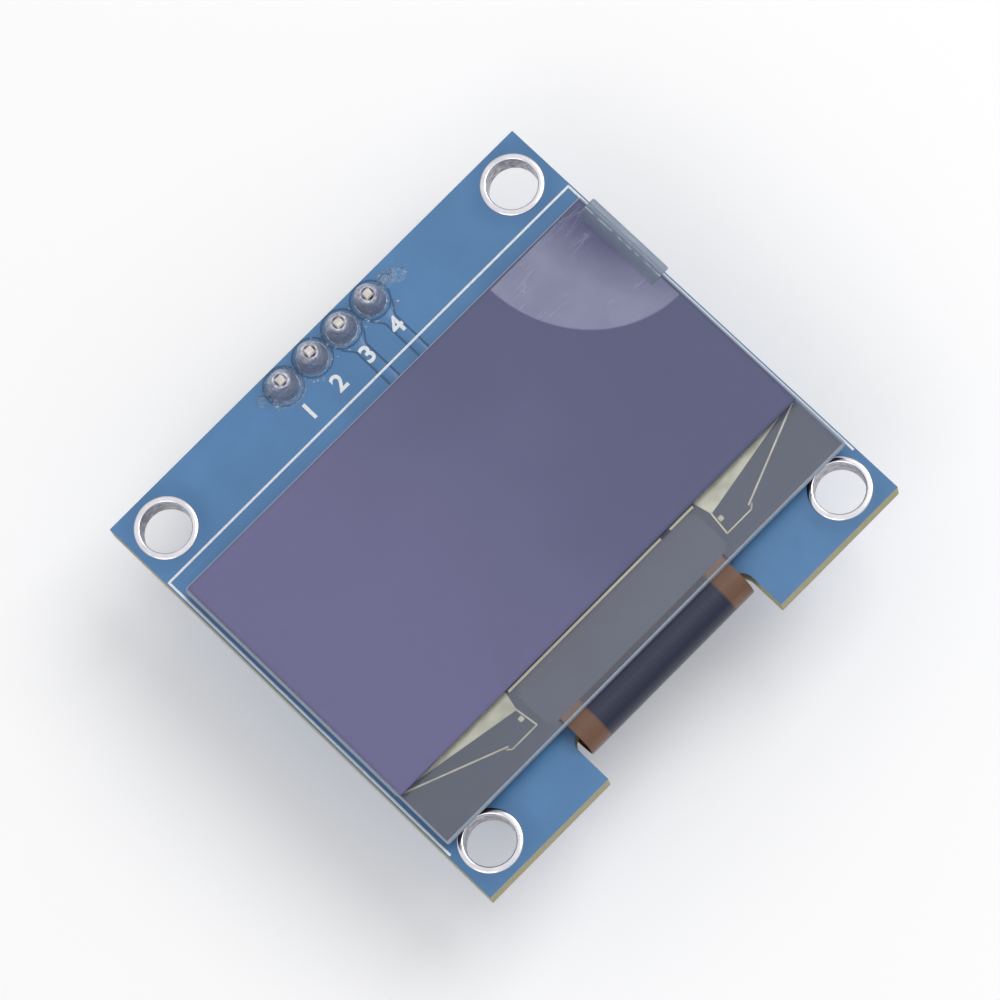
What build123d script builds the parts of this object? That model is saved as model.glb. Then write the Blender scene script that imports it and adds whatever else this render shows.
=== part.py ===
"""Small OLED display module.

A glass panel is taped to a circuit board, its flex goes through a notch in the board's lower edge
and is soldered on the rear, and a row of header pins stands along the board's upper edge.
Millimetres. The origin is the middle of the four mounting holes, on the rear faces of their rings.
+X runs along the pin row, +Y points to the pins, +Z points out of the screen.
"""
import os
from math import sqrt

from build123d import *

os.makedirs("parts", exist_ok=True)

# Panel glass, and the strips of board that show around it
glass_width = 34.5
glass_height = 23.0
glass_thickness = 0.7
side_strip = 0.45
top_strip = 6.65
bottom_strip = 3.85

# Circuit board
board_thickness = 1.6
plating = 0.05
hole_radius = 1.6
ring_width = 0.45
ring_edge_margin = 0.45
notch_corner_radius = 1.0
notch_glass_gap = 0.4

# Header pins and their solder
pin_count = 4
pin_pitch = 2.54
pin_side = 0.64
pin_tail_length = 3.2
pin_contact_length = 6.0
pin_point_length = 0.5
pin_point_taper = 18
pin_cut_chamfer = 0.1
pin_hole_radius = 0.5
pin_land_width = 0.55
header_height = 2.54
header_width = 2.54
header_joint_chamfer = 0.5
header_edge_margin = 0.08
solder_height = 1.4
solder_neck = 0.15
solder_belly_height = 0.85
solder_belly_inset = 0.17

# Layers of the panel
tape_thickness = 0.45
tape_inset = 0.8
cap_thickness = 0.7
ledge_height = 4.55
polarizer_thickness = 0.2
polarizer_inset = 0.15
polarizer_ledge_gap = 4.1
film_thickness = 0.06
film_inset = 0.15

# Pull tab on the film
tab_thickness = 0.08
tab_length = 6.53
tab_film_overlap = 0.85
tab_flat_reach = 0.05
tab_curl_radius = 2.2
tab_curl_angle = 18
tab_top_gap = 0.55
tab_corner_radius = 0.3

# Driver chip, the dark seal over it and the bright contact buses on the ledge
chip_width = 6.8
chip_height = 0.9
chip_thickness = 0.3
chip_cap_gap = 1.1
seal_thickness = 0.4
seal_gap = 0.15
bus_thickness = 0.03
bus_chip_gap = 4.7
bus_edge_gap = 0.6
bus_drop = 1.5

# Flex cable
flex_thickness = 0.1
flex_neck_width = 14.0
flex_notch_gap = 0.5
flex_bond_length = 1.4
flex_bend_gap = 0.05
flex_neck_run = 2.8
flex_shoulder_run = 2.0
flex_tail_run = 3.0
flex_tail_margin = 0.85
flex_corner_radius = 0.5
finger_count = 30
finger_pitch = 0.7
finger_width = 0.4
finger_lap = 1.0
finger_pad_run = 0.9
finger_solder_height = 0.1
finger_toe = 0.25

# Small parts on the board's rear
regulator_length = 2.9
regulator_width = 1.3
regulator_height = 1.0
regulator_standoff = 0.1
regulator_leg_spacing = 1.9
leg_width = 0.4
leg_thickness = 0.12
leg_shoulder = 0.2
leg_slope = 0.2
leg_foot = 0.4
diode_length = 1.7
diode_width = 1.25
diode_height = 0.9
diode_standoff = 0.05
diode_lead_width = 0.3
diode_lead_foot = 0.4
moulding_chamfer = 0.12
regulator_x = -9.0
diode_x = 9.0
header_to_power_row = 3.6
capacitor_count = 5
capacitor_length = 1.6
capacitor_width = 0.8
capacitor_height = 0.8
capacitor_terminal = 0.35
capacitor_pitch = 3.9
capacitor_row_gap = 2.6
resistor_count = 5
resistor_length = 1.6
resistor_width = 0.8
resistor_height = 0.45
resistor_terminal = 0.3
resistor_pitch = 3.1
resistor_row_gap = 2.9

# Board outline and levels, worked out from the values above
board_width = glass_width + 2 * side_strip
board_height = top_strip + glass_height + bottom_strip
board_top = board_height / 2
board_bottom = -board_top
board_back = plating
board_front = board_back + board_thickness
ring_radius = hole_radius + ring_width
hole_inset = ring_radius + ring_edge_margin
hole_spacing_x = board_width - 2 * hole_inset
hole_spacing_y = board_height - 2 * hole_inset
pin_row_y = board_top - header_edge_margin - header_width / 2
pin_land_radius = pin_hole_radius + pin_land_width
pin_point_level = -header_height - pin_contact_length + pin_point_length

# Panel levels and edges
tape_front = board_front + tape_thickness
glass_back = tape_front + cap_thickness
glass_front = glass_back + glass_thickness
polarizer_front = glass_front + polarizer_thickness
film_front = polarizer_front + film_thickness
glass_top = board_top - top_strip
glass_bottom = glass_top - glass_height
cap_bottom = glass_bottom + ledge_height
polarizer_top = glass_top - polarizer_inset
polarizer_bottom = glass_bottom + polarizer_ledge_gap
polarizer_width = glass_width - 2 * polarizer_inset
film_top = polarizer_top - film_inset
film_bottom = polarizer_bottom + film_inset
film_right = polarizer_width / 2 - film_inset

# Flex and notch places
notch_edge = glass_bottom - notch_glass_gap
notch_width = flex_neck_width + 2 * flex_notch_gap
notch_depth = notch_edge - board_bottom
flex_bond_edge = glass_bottom + flex_bond_length
flex_rear = board_back - flex_thickness
flex_bond_level = glass_back - flex_thickness / 2
flex_tail_level = board_back - flex_thickness / 2
flex_bend_radius = (flex_bond_level - flex_tail_level) / 2
corner_overhang = max(notch_corner_radius - flex_notch_gap, 0)
corner_reach = notch_corner_radius - sqrt(notch_corner_radius**2 - corner_overhang**2)
flex_bend_start = notch_edge - corner_reach - flex_bend_gap
flex_bend_level = (flex_bond_level + flex_tail_level) / 2
shoulder_start = notch_edge + flex_neck_run
shoulder_end = shoulder_start + flex_shoulder_run
flex_tail_end = shoulder_end + flex_tail_run
flex_tail_width = (finger_count - 1) * finger_pitch + 2 * flex_tail_margin

# Rows of small parts, counted from the flex's soldered end and from the header
capacitor_row_y = flex_tail_end + finger_pad_run + capacitor_row_gap
resistor_row_y = capacitor_row_y + resistor_row_gap
power_row_y = pin_row_y - header_width / 2 - header_to_power_row


def section_at(x, y):
    """Upright plane through (x, y): its own x is +X and its own y is +Z."""
    return Plane(origin=(x, y, 0), x_dir=(1, 0, 0), z_dir=(0, -1, 0))


def rear_at(x, y):
    """Plane on the board's rear face that looks away from the board."""
    return Plane(origin=(x, y, board_back), x_dir=(1, 0, 0), z_dir=(0, 0, -1))


def plated_hole(x, y, bore_radius, land_radius):
    """Tinned barrel through the board with a flat land on each face."""
    with BuildPart() as barrel:
        with BuildSketch(section_at(x, y)):
            with BuildLine():
                Polyline(
                    (bore_radius, 0),
                    (land_radius, 0),
                    (land_radius, board_back),
                    (bore_radius + plating, board_back),
                    (bore_radius + plating, board_front),
                    (land_radius, board_front),
                    (land_radius, board_front + plating),
                    (bore_radius, board_front + plating),
                    close=True,
                )
            make_face()
        revolve(axis=Axis((x, y, 0), (0, 0, 1)))
    return barrel


# Circuit board with its notch, mounting holes and pin holes
with BuildPart() as circuit_board:
    with BuildSketch(Plane.XY.offset(board_back)) as outline:
        Rectangle(board_width, board_height)
        with Locations((0, board_bottom)):
            Rectangle(
                notch_width,
                notch_depth,
                align=(Align.CENTER, Align.MIN),
                mode=Mode.SUBTRACT,
            )
        fillet(outline.vertices().group_by(Axis.Y)[1], radius=notch_corner_radius)
    extrude(amount=board_thickness)
    with Locations((0, 0, board_front)):
        with GridLocations(hole_spacing_x, hole_spacing_y, 2, 2):
            Hole(hole_radius + plating)
    with Locations((0, pin_row_y, board_front)):
        with GridLocations(pin_pitch, 0, pin_count, 1):
            Hole(pin_hole_radius + plating)
circuit_board.part.label = "circuit_board"
export_step(circuit_board.part, "parts/circuit_board.step")

# Tinned rings of the mounting holes
for number, place in enumerate(GridLocations(hole_spacing_x, hole_spacing_y, 2, 2), start=1):
    ring = plated_hole(place.position.X, place.position.Y, hole_radius, ring_radius)
    ring.part.label = f"mounting_ring_{number}"
    export_step(ring.part, f"parts/mounting_ring_{number}.step")

# Header pins, each with its plated hole and its solder
for number, place in enumerate(GridLocations(pin_pitch, 0, pin_count, 1), start=1):
    pin_x = place.position.X
    land = plated_hole(pin_x, pin_row_y, pin_hole_radius, pin_land_radius)
    land.part.label = f"pin_land_{number}"
    export_step(land.part, f"parts/pin_land_{number}.step")

    with BuildPart() as header_pin:
        with BuildSketch(Plane((pin_x, pin_row_y, pin_point_level))):
            Rectangle(pin_side, pin_side)
        extrude(amount=pin_tail_length - pin_point_level)
        chamfer(header_pin.edges().group_by(Axis.Z)[-1], length=pin_cut_chamfer)
        extrude(
            header_pin.faces().sort_by(Axis.Z)[0],
            amount=pin_point_length,
            taper=pin_point_taper,
        )
    header_pin.part.label = f"header_pin_{number}"
    export_step(header_pin.part, f"parts/header_pin_{number}.step")

    solder_foot = board_front + plating
    with BuildPart() as solder_joint:
        with BuildSketch(section_at(pin_x, pin_row_y)):
            with BuildLine():
                Polyline(
                    (0, 0),
                    (pin_hole_radius, 0),
                    (pin_hole_radius, solder_foot),
                    (pin_land_radius, solder_foot),
                    (pin_land_radius - solder_belly_inset, solder_foot + solder_belly_height),
                    (pin_side / 2 + solder_neck, solder_foot + solder_height),
                    (0, solder_foot + solder_height),
                    close=True,
                )
            make_face()
        revolve(axis=Axis((pin_x, pin_row_y, 0), (0, 0, 1)))
        with Locations((pin_x, pin_row_y, 0)):
            Box(
                pin_side,
                pin_side,
                pin_tail_length,
                align=(Align.CENTER, Align.CENTER, Align.MIN),
                mode=Mode.SUBTRACT,
            )
    solder_joint.part.label = f"solder_joint_{number}"
    export_step(solder_joint.part, f"parts/solder_joint_{number}.step")

# Plastic strip of the header, one breakable unit to each pin
with BuildPart() as header_body:
    with BuildSketch(Plane((0, pin_row_y, -header_height))):
        with BuildSketch(mode=Mode.PRIVATE) as unit:
            Rectangle(pin_pitch, header_width)
            chamfer(unit.vertices(), length=header_joint_chamfer)
        with GridLocations(pin_pitch, 0, pin_count, 1):
            add(unit.sketch)
            Rectangle(pin_side, pin_side, mode=Mode.SUBTRACT)
    extrude(amount=header_height)
header_body.part.label = "header_body"
export_step(header_body.part, "parts/header_body.step")

# Double-sided tape behind the panel
with BuildPart() as panel_tape:
    with BuildSketch(Plane.XY.offset(board_front)):
        with Locations((0, glass_top - tape_inset)):
            Rectangle(
                glass_width - 2 * tape_inset,
                glass_height - ledge_height - 2 * tape_inset,
                align=(Align.CENTER, Align.MAX),
            )
    extrude(amount=tape_thickness)
panel_tape.part.label = "panel_tape"
export_step(panel_tape.part, "parts/panel_tape.step")

# Rear glass that closes the panel, shorter than the front glass by the ledge
with BuildPart() as cap_glass:
    with BuildSketch(Plane.XY.offset(tape_front)):
        with Locations((0, glass_top)):
            Rectangle(
                glass_width,
                glass_height - ledge_height,
                align=(Align.CENTER, Align.MAX),
            )
    extrude(amount=cap_thickness)
cap_glass.part.label = "cap_glass"
export_step(cap_glass.part, "parts/cap_glass.step")

# Front glass
with BuildPart() as front_glass:
    with BuildSketch(Plane.XY.offset(glass_back)):
        with Locations((0, glass_top)):
            Rectangle(glass_width, glass_height, align=(Align.CENTER, Align.MAX))
    extrude(amount=glass_thickness)
front_glass.part.label = "front_glass"
export_step(front_glass.part, "parts/front_glass.step")

# Polarizer on the front glass
with BuildPart() as polarizer:
    with BuildSketch(Plane.XY.offset(glass_front)):
        with Locations((0, polarizer_top)):
            Rectangle(
                polarizer_width,
                polarizer_top - polarizer_bottom,
                align=(Align.CENTER, Align.MAX),
            )
    extrude(amount=polarizer_thickness)
polarizer.part.label = "polarizer"
export_step(polarizer.part, "parts/polarizer.step")

# Clear film that protects the polarizer
with BuildPart() as protective_film:
    with BuildSketch(Plane.XY.offset(polarizer_front)):
        with Locations((0, film_top)):
            Rectangle(
                2 * film_right,
                film_top - film_bottom,
                align=(Align.CENTER, Align.MAX),
            )
    extrude(amount=film_thickness)
protective_film.part.label = "protective_film"
export_step(protective_film.part, "parts/protective_film.step")

# Pull tab: stuck to the film's right edge, its free edge curling up past the glass
with BuildPart() as pull_tab:
    with BuildSketch(section_at(film_right - tab_film_overlap, film_top - tab_top_gap)):
        with BuildLine():
            flat = Line(
                (0, film_front + tab_thickness / 2),
                (tab_film_overlap + tab_flat_reach, film_front + tab_thickness / 2),
            )
            CenterArc(
                flat @ 1 + Vector(0, tab_curl_radius),
                tab_curl_radius,
                start_angle=-90,
                arc_size=tab_curl_angle,
            )
        trace(line_width=tab_thickness)
    extrude(amount=tab_length)
    fillet(pull_tab.edges().group_by(SortBy.LENGTH)[0], radius=tab_corner_radius)
pull_tab.part.label = "pull_tab"
export_step(pull_tab.part, "parts/pull_tab.step")

# Bare driver chip under the ledge
chip_y = cap_bottom - chip_cap_gap - chip_height / 2
with BuildPart() as driver_chip:
    with BuildSketch(Plane((0, chip_y, glass_back - chip_thickness))):
        Rectangle(chip_width, chip_height)
    extrude(amount=chip_thickness)
driver_chip.part.label = "driver_chip"
export_step(driver_chip.part, "parts/driver_chip.step")

# Bright contact buses on the back of the ledge: wedges that narrow towards the glass's sides
bus_top = cap_bottom - seal_gap
bus_inner = chip_width / 2 + bus_chip_gap
bus_outer = glass_width / 2 - bus_edge_gap
for side, toward in (("left", -1), ("right", 1)):
    with BuildPart() as contact_bus:
        with BuildSketch(Plane.XY.offset(glass_back - bus_thickness)):
            with BuildLine():
                Polyline(
                    (toward * bus_inner, bus_top),
                    (toward * bus_outer, bus_top),
                    (toward * bus_inner, bus_top - bus_drop),
                    close=True,
                )
            make_face()
        extrude(amount=bus_thickness)
    contact_bus.part.label = f"contact_bus_{side}"
    export_step(contact_bus.part, f"parts/contact_bus_{side}.step")

# Dark seal behind the ledge: it holds the chip and leaves room for the bonded flex
seal_width = glass_width - 2 * seal_gap
seal_height = ledge_height - 2 * seal_gap
with BuildPart() as ledge_seal:
    with BuildSketch(Plane.XY.offset(glass_back - seal_thickness)):
        with Locations((0, bus_top)):
            Rectangle(seal_width, seal_height, align=(Align.CENTER, Align.MAX))
        with Locations((0, flex_bond_edge + seal_gap)):
            Rectangle(
                flex_neck_width + 2 * seal_gap,
                seal_height,
                align=(Align.CENTER, Align.MAX),
                mode=Mode.SUBTRACT,
            )
    extrude(amount=seal_thickness - bus_thickness)
    with Locations((0, chip_y, glass_back)):
        Box(
            chip_width,
            chip_height,
            chip_thickness,
            align=(Align.CENTER, Align.CENTER, Align.MAX),
            mode=Mode.SUBTRACT,
        )
ledge_seal.part.label = "ledge_seal"
export_step(ledge_seal.part, "parts/ledge_seal.step")

# Flex: bonded under the ledge, turned through the notch and widened to its soldered end
with BuildPart() as flex_cable:
    with BuildSketch(Plane.YZ):
        with BuildLine():
            bonded = Line((flex_bond_edge, flex_bond_level), (flex_bend_start, flex_bond_level))
            turn = ThreePointArc(
                bonded @ 1,
                (flex_bend_start - flex_bend_radius, flex_bend_level),
                (flex_bend_start, flex_tail_level),
            )
            Line(turn @ 1, (shoulder_start, flex_tail_level))
        trace(line_width=flex_thickness)
    extrude(amount=flex_neck_width / 2, both=True)
    with BuildSketch(Plane.XY.offset(flex_rear)) as tail:
        with BuildLine():
            Polyline(
                (0, shoulder_start),
                (flex_neck_width / 2, shoulder_start),
                (flex_tail_width / 2, shoulder_end),
                (flex_tail_width / 2, flex_tail_end),
                (0, flex_tail_end),
            )
            mirror(about=Plane.YZ)
        make_face()
        fillet(tail.vertices().group_by(Axis.Y)[-1], radius=flex_corner_radius)
    extrude(amount=flex_thickness)
flex_cable.part.label = "flex_cable"
export_step(flex_cable.part, "parts/flex_cable.step")

# One soldered finger at the flex's end: it laps onto the flex and runs down to the board
with BuildPart() as finger:
    with BuildSketch(Plane.YZ):
        with BuildLine():
            Polyline(
                (flex_tail_end - finger_lap, flex_rear),
                (flex_tail_end, flex_rear),
                (flex_tail_end, board_back),
                (flex_tail_end + finger_pad_run, board_back),
                (flex_tail_end + finger_toe, flex_rear - finger_solder_height),
                close=True,
            )
        make_face()
    extrude(amount=finger_width / 2, both=True)

# The row of soldered fingers
with BuildPart() as flex_solder:
    with GridLocations(finger_pitch, 0, finger_count, 1):
        add(finger.part)
flex_solder.part.label = "flex_solder"
export_step(flex_solder.part, "parts/flex_solder.step")

# Regulator body, drafted as moulded
with BuildPart() as regulator_body:
    with BuildSketch(rear_at(regulator_x, power_row_y).offset(regulator_standoff)):
        Rectangle(regulator_length, regulator_width)
    extrude(amount=regulator_height)
    chamfer(regulator_body.edges().group_by(Axis.Z)[0], length=moulding_chamfer)
regulator_body.part.label = "regulator_body"
export_step(regulator_body.part, "parts/regulator_body.step")

# Regulator legs: two on the side of the header, one on the other side
leg_root = regulator_width / 2
leg_level = board_back - regulator_standoff - regulator_height / 2
foot_level = board_back - leg_thickness / 2
regulator_leg_places = [
    (regulator_x - regulator_leg_spacing / 2, 1),
    (regulator_x + regulator_leg_spacing / 2, 1),
    (regulator_x, -1),
]
with BuildPart() as regulator_legs:
    for leg_x, toward in regulator_leg_places:
        with BuildSketch(Plane.YZ.offset(leg_x)):
            with BuildLine():
                Polyline(
                    (power_row_y + toward * leg_root, leg_level),
                    (power_row_y + toward * (leg_root + leg_shoulder), leg_level),
                    (power_row_y + toward * (leg_root + leg_shoulder + leg_slope), foot_level),
                    (power_row_y + toward * (leg_root + leg_shoulder + leg_slope + leg_foot), foot_level),
                )
            trace(line_width=leg_thickness)
        extrude(amount=leg_width / 2, both=True)
regulator_legs.part.label = "regulator_legs"
export_step(regulator_legs.part, "parts/regulator_legs.step")

# Diode body
with BuildPart() as diode_body:
    with BuildSketch(rear_at(diode_x, power_row_y).offset(diode_standoff)):
        Rectangle(diode_length, diode_width)
    extrude(amount=diode_height)
    chamfer(diode_body.edges().group_by(Axis.Z)[0], length=moulding_chamfer)
diode_body.part.label = "diode_body"
export_step(diode_body.part, "parts/diode_body.step")

# Diode leads: flat strips bent down each end of the body
with BuildPart() as diode_leads:
    for toward in (-1, 1):
        lead_root = diode_x + toward * diode_length / 2
        lead_level = board_back - diode_standoff - diode_height / 2
        with BuildSketch(section_at(0, power_row_y)):
            with BuildLine():
                Polyline(
                    (lead_root, lead_level),
                    (lead_root + toward * leg_thickness, lead_level),
                    (lead_root + toward * leg_thickness, foot_level),
                    (lead_root + toward * (leg_thickness + diode_lead_foot), foot_level),
                )
            trace(line_width=leg_thickness)
        extrude(amount=diode_lead_width / 2, both=True)
diode_leads.part.label = "diode_leads"
export_step(diode_leads.part, "parts/diode_leads.step")

# Chip capacitors in a row, each between its two end terminals
capacitor_row = GridLocations(capacitor_pitch, 0, capacitor_count, 1)
for number, place in enumerate(capacitor_row, start=1):
    with BuildPart() as capacitor:
        with BuildSketch(rear_at(place.position.X, capacitor_row_y)):
            Rectangle(capacitor_width, capacitor_length - 2 * capacitor_terminal)
        extrude(amount=capacitor_height)
    capacitor.part.label = f"capacitor_{number}"
    export_step(capacitor.part, f"parts/capacitor_{number}.step")

with BuildPart() as capacitor_terminals:
    with BuildSketch(rear_at(0, capacitor_row_y)):
        with GridLocations(capacitor_pitch, capacitor_length - capacitor_terminal, capacitor_count, 2):
            Rectangle(capacitor_width, capacitor_terminal)
    extrude(amount=capacitor_height)
capacitor_terminals.part.label = "capacitor_terminals"
export_step(capacitor_terminals.part, "parts/capacitor_terminals.step")

# Chip resistors in a row beyond the capacitors
resistor_row = GridLocations(resistor_pitch, 0, resistor_count, 1)
for number, place in enumerate(resistor_row, start=1):
    with BuildPart() as resistor:
        with BuildSketch(rear_at(place.position.X, resistor_row_y)):
            Rectangle(resistor_length - 2 * resistor_terminal, resistor_width)
        extrude(amount=resistor_height)
    resistor.part.label = f"resistor_{number}"
    export_step(resistor.part, f"parts/resistor_{number}.step")

with BuildPart() as resistor_terminals:
    with BuildSketch(rear_at(0, resistor_row_y)):
        with GridLocations(resistor_pitch, 0, resistor_count, 1):
            with GridLocations(resistor_length - resistor_terminal, 0, 2, 1):
                Rectangle(resistor_terminal, resistor_width)
    extrude(amount=resistor_height)
resistor_terminals.part.label = "resistor_terminals"
export_step(resistor_terminals.part, "parts/resistor_terminals.step")
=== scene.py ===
"""Looks of a small OLED display module, laid out as an add-on and run as a script.

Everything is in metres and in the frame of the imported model: +X along the pin row, +Y towards the pins,
+Z out of the screen. Pieces take their places from the nodes of that model.
"""
import math
import random

import bmesh
import bpy
from mathutils import Matrix, Vector


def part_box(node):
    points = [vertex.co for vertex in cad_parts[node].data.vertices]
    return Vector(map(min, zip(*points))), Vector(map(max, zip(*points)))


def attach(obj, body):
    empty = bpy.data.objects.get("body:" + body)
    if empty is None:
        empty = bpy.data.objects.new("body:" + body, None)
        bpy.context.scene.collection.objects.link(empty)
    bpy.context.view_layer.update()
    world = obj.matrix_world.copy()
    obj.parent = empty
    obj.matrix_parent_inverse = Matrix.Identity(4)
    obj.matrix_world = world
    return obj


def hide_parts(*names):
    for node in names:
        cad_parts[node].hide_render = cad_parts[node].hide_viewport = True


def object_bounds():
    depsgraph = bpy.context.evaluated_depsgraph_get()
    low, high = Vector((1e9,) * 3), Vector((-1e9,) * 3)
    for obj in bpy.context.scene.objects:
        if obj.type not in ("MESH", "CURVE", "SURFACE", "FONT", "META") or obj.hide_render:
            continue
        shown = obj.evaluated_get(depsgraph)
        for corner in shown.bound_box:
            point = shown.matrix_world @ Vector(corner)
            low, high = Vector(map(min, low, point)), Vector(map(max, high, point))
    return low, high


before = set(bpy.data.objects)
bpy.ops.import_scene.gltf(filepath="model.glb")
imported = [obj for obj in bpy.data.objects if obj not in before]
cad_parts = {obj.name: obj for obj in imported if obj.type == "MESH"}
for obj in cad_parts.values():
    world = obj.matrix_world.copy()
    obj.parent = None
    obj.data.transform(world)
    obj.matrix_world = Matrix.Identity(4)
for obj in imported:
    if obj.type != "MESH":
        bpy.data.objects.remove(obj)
CAD_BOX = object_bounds()

bl_info = {
    "name": "OLED display module",
    "version": (1, 0, 0),
    "blender": (4, 5, 0),
    "location": "3D View > Sidebar > Display module",
    "description": "Models and finishes the pieces of a small OLED display module",
    "category": "Object",
}

MM = 0.001

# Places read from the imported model
BOARD_LOW, BOARD_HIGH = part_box("circuit_board")
GLASS_LOW, GLASS_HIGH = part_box("front_glass")
FILM_LOW, FILM_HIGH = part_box("protective_film")
TAB_LOW, TAB_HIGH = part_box("pull_tab")
BUS_LOW, BUS_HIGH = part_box("contact_bus_right")
FINGER_LOW, FINGER_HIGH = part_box("flex_solder")
SCREEN_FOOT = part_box("polarizer")[0].y
SEAL_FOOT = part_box("ledge_seal")[0].y

# Numbers of like pieces
PIN_NUMBERS = (1, 2, 3, 4)
RING_NUMBERS = (1, 2, 3, 4)
PART_NUMBERS = (1, 2, 3, 4, 5)
FINGER_COUNT = 30
FINGER_WIDTH = 0.4 * MM

# The film's lifted corner reaches a little less far across than down
LIFT_SQUASH = 1.12

# The bright metal and the dark cover lie in this thin layer at the back of the front glass
LEDGE_ROOM = 0.03 * MM

# Points closer than this are one, and faces that meet at more than this angle in degrees keep an edge
CLOSE = MM / 100
CREASE = 40


def linear(hex_colour):
    """Linear RGBA of an sRGB hex colour."""
    channels = [int(hex_colour[start:start + 2], 16) / 255 for start in (1, 3, 5)]
    return [c / 12.92 if c <= 0.04045 else ((c + 0.055) / 1.055) ** 2.4 for c in channels] + [1.0]


def middle(node):
    """Middle of a node's box."""
    low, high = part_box(node)
    return (low + high) / 2


# Settings that a user would change

def quantity(name, description, default, **kind):
    """A number setting."""
    return bpy.props.FloatProperty(name=name, description=description, default=default, **kind)


def length(name, description, millimetres):
    """A length setting, written in millimetres and kept in metres."""
    return quantity(name, description, millimetres * MM, unit="LENGTH", precision=6)


def angle(name, description, degrees):
    """An angle setting, written in degrees and kept in radians."""
    return quantity(name, description, math.radians(degrees), subtype="ANGLE")


def colour(name, description, hex_colour):
    """A colour setting, written as sRGB hex and kept linear."""
    return bpy.props.FloatVectorProperty(
        name=name, description=description, default=linear(hex_colour), subtype="COLOR",
        size=4, min=0, max=1,
    )


class ModuleSizes(bpy.types.PropertyGroup):
    """Sizes of the details that the looks add"""

    track_width: length("Track width", "Width of the two tracks from the last pins", 0.65)
    track_height: length("Track height", "Rise of a copper track under the mask", 0.03)
    track_flare: length("Track flare", "Width of a track where it meets its pin", 1.5)
    rear_track: length("Rear track", "Width of the tracks between the rear parts", 0.35)
    silk_width: length("Print line width", "Width of the white outline", 0.16)
    silk_height: length("Print height", "Rise of the white print", 0.04)
    silk_top: length("Print outline top", "Height of the outline's upper line above the middle", 11.6)
    silk_side: length("Print outline side", "Half width of the outline", 17.52)
    number_height: length("Number height", "Height of the numbers under the pins", 1.15)
    number_level: length("Number level", "Height of the numbers' foot above the middle", 12.5)
    film_lift: length("Film lift", "Rise of the film's free corner", 0.1)
    film_lift_reach: length("Film lift reach", "How far the lifted corner reaches down the film", 8.8)
    flux_drop: length("Flux drop", "Radius of the larger flux drops", 0.14)
    flux_pool: length("Flux pool", "Radius of the thin flux pool round a pin", 1.35)
    ledge_line: length("Ledge line", "Width of the fine bright lines on the ledge", 0.11)
    # The crown line is a thin pale line whose gleam is painted into its colour
    crown_line: length("Crown line", "Width of the sealant along the screen's lower edge", 0.16)
    cover_side: length("Cover side", "Half width of the dark cover over the driver chip", 7.8)
    cover_corner: length("Cover corner", "Corner radius of the dark cover", 0.65)


class ModuleColours(bpy.types.PropertyGroup):
    """Colours of the finishes"""

    mask: colour("Solder mask", "Mask over copper", "#507fae")
    mask_dark: colour("Mask on laminate", "Mask where there is no copper under it", "#406b99")
    gap: colour("Copper gap", "Mask in the gap beside a rear track", "#2f5580")
    laminate: colour("Laminate", "Cut edges of the board", "#aea886")
    silk: colour("Print", "White ink on the board", "#eef1f4")
    tin: colour("Tin", "Bright tin plating", "#e8e6ea")
    solder: colour("Solder", "Dull solder", "#c2c5d1")
    pin: colour("Pins", "Tinned pins", "#eae4e2")
    # The paler purplish left tone of the screen is a painted sheen of reflected light
    polarizer_left: colour("Polarizer, left", "Purplish tone of the dark screen", "#625f89")
    polarizer_right: colour("Polarizer, right", "Bluish tone of the dark screen", "#484c71")
    # The film's haze colour also carries the painted reflection where its corner is lifted
    film: colour("Film", "Haze of the clear film", "#c3c3de")
    tab: colour("Pull tab", "Greenish strip", "#7f8fa4")
    seal: colour("Ledge seal", "Dark resin behind the ledge", "#3a4158")
    cover: colour("Chip cover", "Dark film over the driver chip", "#4b5065")
    bus: colour("Contact bus", "Pale metal on the ledge", "#b4b2a4")
    # The crown line's pale colour is a painted gleam
    crown: colour("Crown line", "Pale sealant along the screen's lower edge", "#e9e5cc")
    amber: colour("Flex", "Bare polyimide", "#6a4a38")
    flex_dark: colour("Flex conductors", "Copper under dark cover film", "#161d38")
    floor: colour("Floor", "Studio floor", "#fdfdfe")


class StageSettings(bpy.types.PropertyGroup):
    """Camera and light"""

    azimuth: angle("Azimuth", "Turn of the camera round the module", -22.74)
    elevation: angle("Elevation", "Height of the camera above the board's plane", 73.99)
    roll: angle("Roll", "Turn of the camera about its own axis", -23.04)
    distance: length("Distance", "From the camera to the board", 393.3)
    aim_right: length("Aim right", "How far the camera aims right of the board's middle", -0.08)
    aim_up: length("Aim up", "How far the camera aims above the board's middle", 0.51)
    lens: quantity("Lens", "Focal length on a 36 mm sensor", 230.4, unit="CAMERA")
    world_light: quantity("World light", "Strength of the even light from all round", 0.56, min=0)
    key_power: quantity("Key power", "Power of the large soft light", 1.1, unit="POWER", min=0)
    fill_power: quantity("Fill power", "Power of the weaker light", 0.3, unit="POWER", min=0)


# Modelling, as by hand

def deselect():
    """Leaves edit mode and deselects everything."""
    if bpy.context.object and bpy.context.object.mode != "OBJECT":
        bpy.ops.object.mode_set(mode="OBJECT")
    bpy.ops.object.select_all(action="DESELECT")


def start_piece(name):
    """Names the primitive just added, puts its place into its mesh and opens it in edit mode."""
    piece = bpy.context.object
    piece.name = name
    piece.data.name = name
    bpy.ops.object.transform_apply(location=True, rotation=True, scale=True)
    bpy.ops.object.mode_set(mode="EDIT")
    bpy.ops.mesh.select_all(action="SELECT")
    return piece


def pick(piece, kind, test):
    """Selects just the vertices or edges of the edited piece that pass the test."""
    bpy.ops.mesh.select_mode(type=kind)
    bpy.ops.mesh.select_all(action="DESELECT")
    mesh = bmesh.from_edit_mesh(piece.data)
    for item in mesh.verts if kind == "VERT" else mesh.edges:
        if test(item):
            item.select_set(True)
    bmesh.update_edit_mesh(piece.data)


def pick_corner(piece, x, y):
    """Selects just one corner of the edited sheet."""
    corner = Vector((x, y))
    pick(piece, "VERT", lambda v: (v.co.xy - corner).length < CLOSE)


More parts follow.
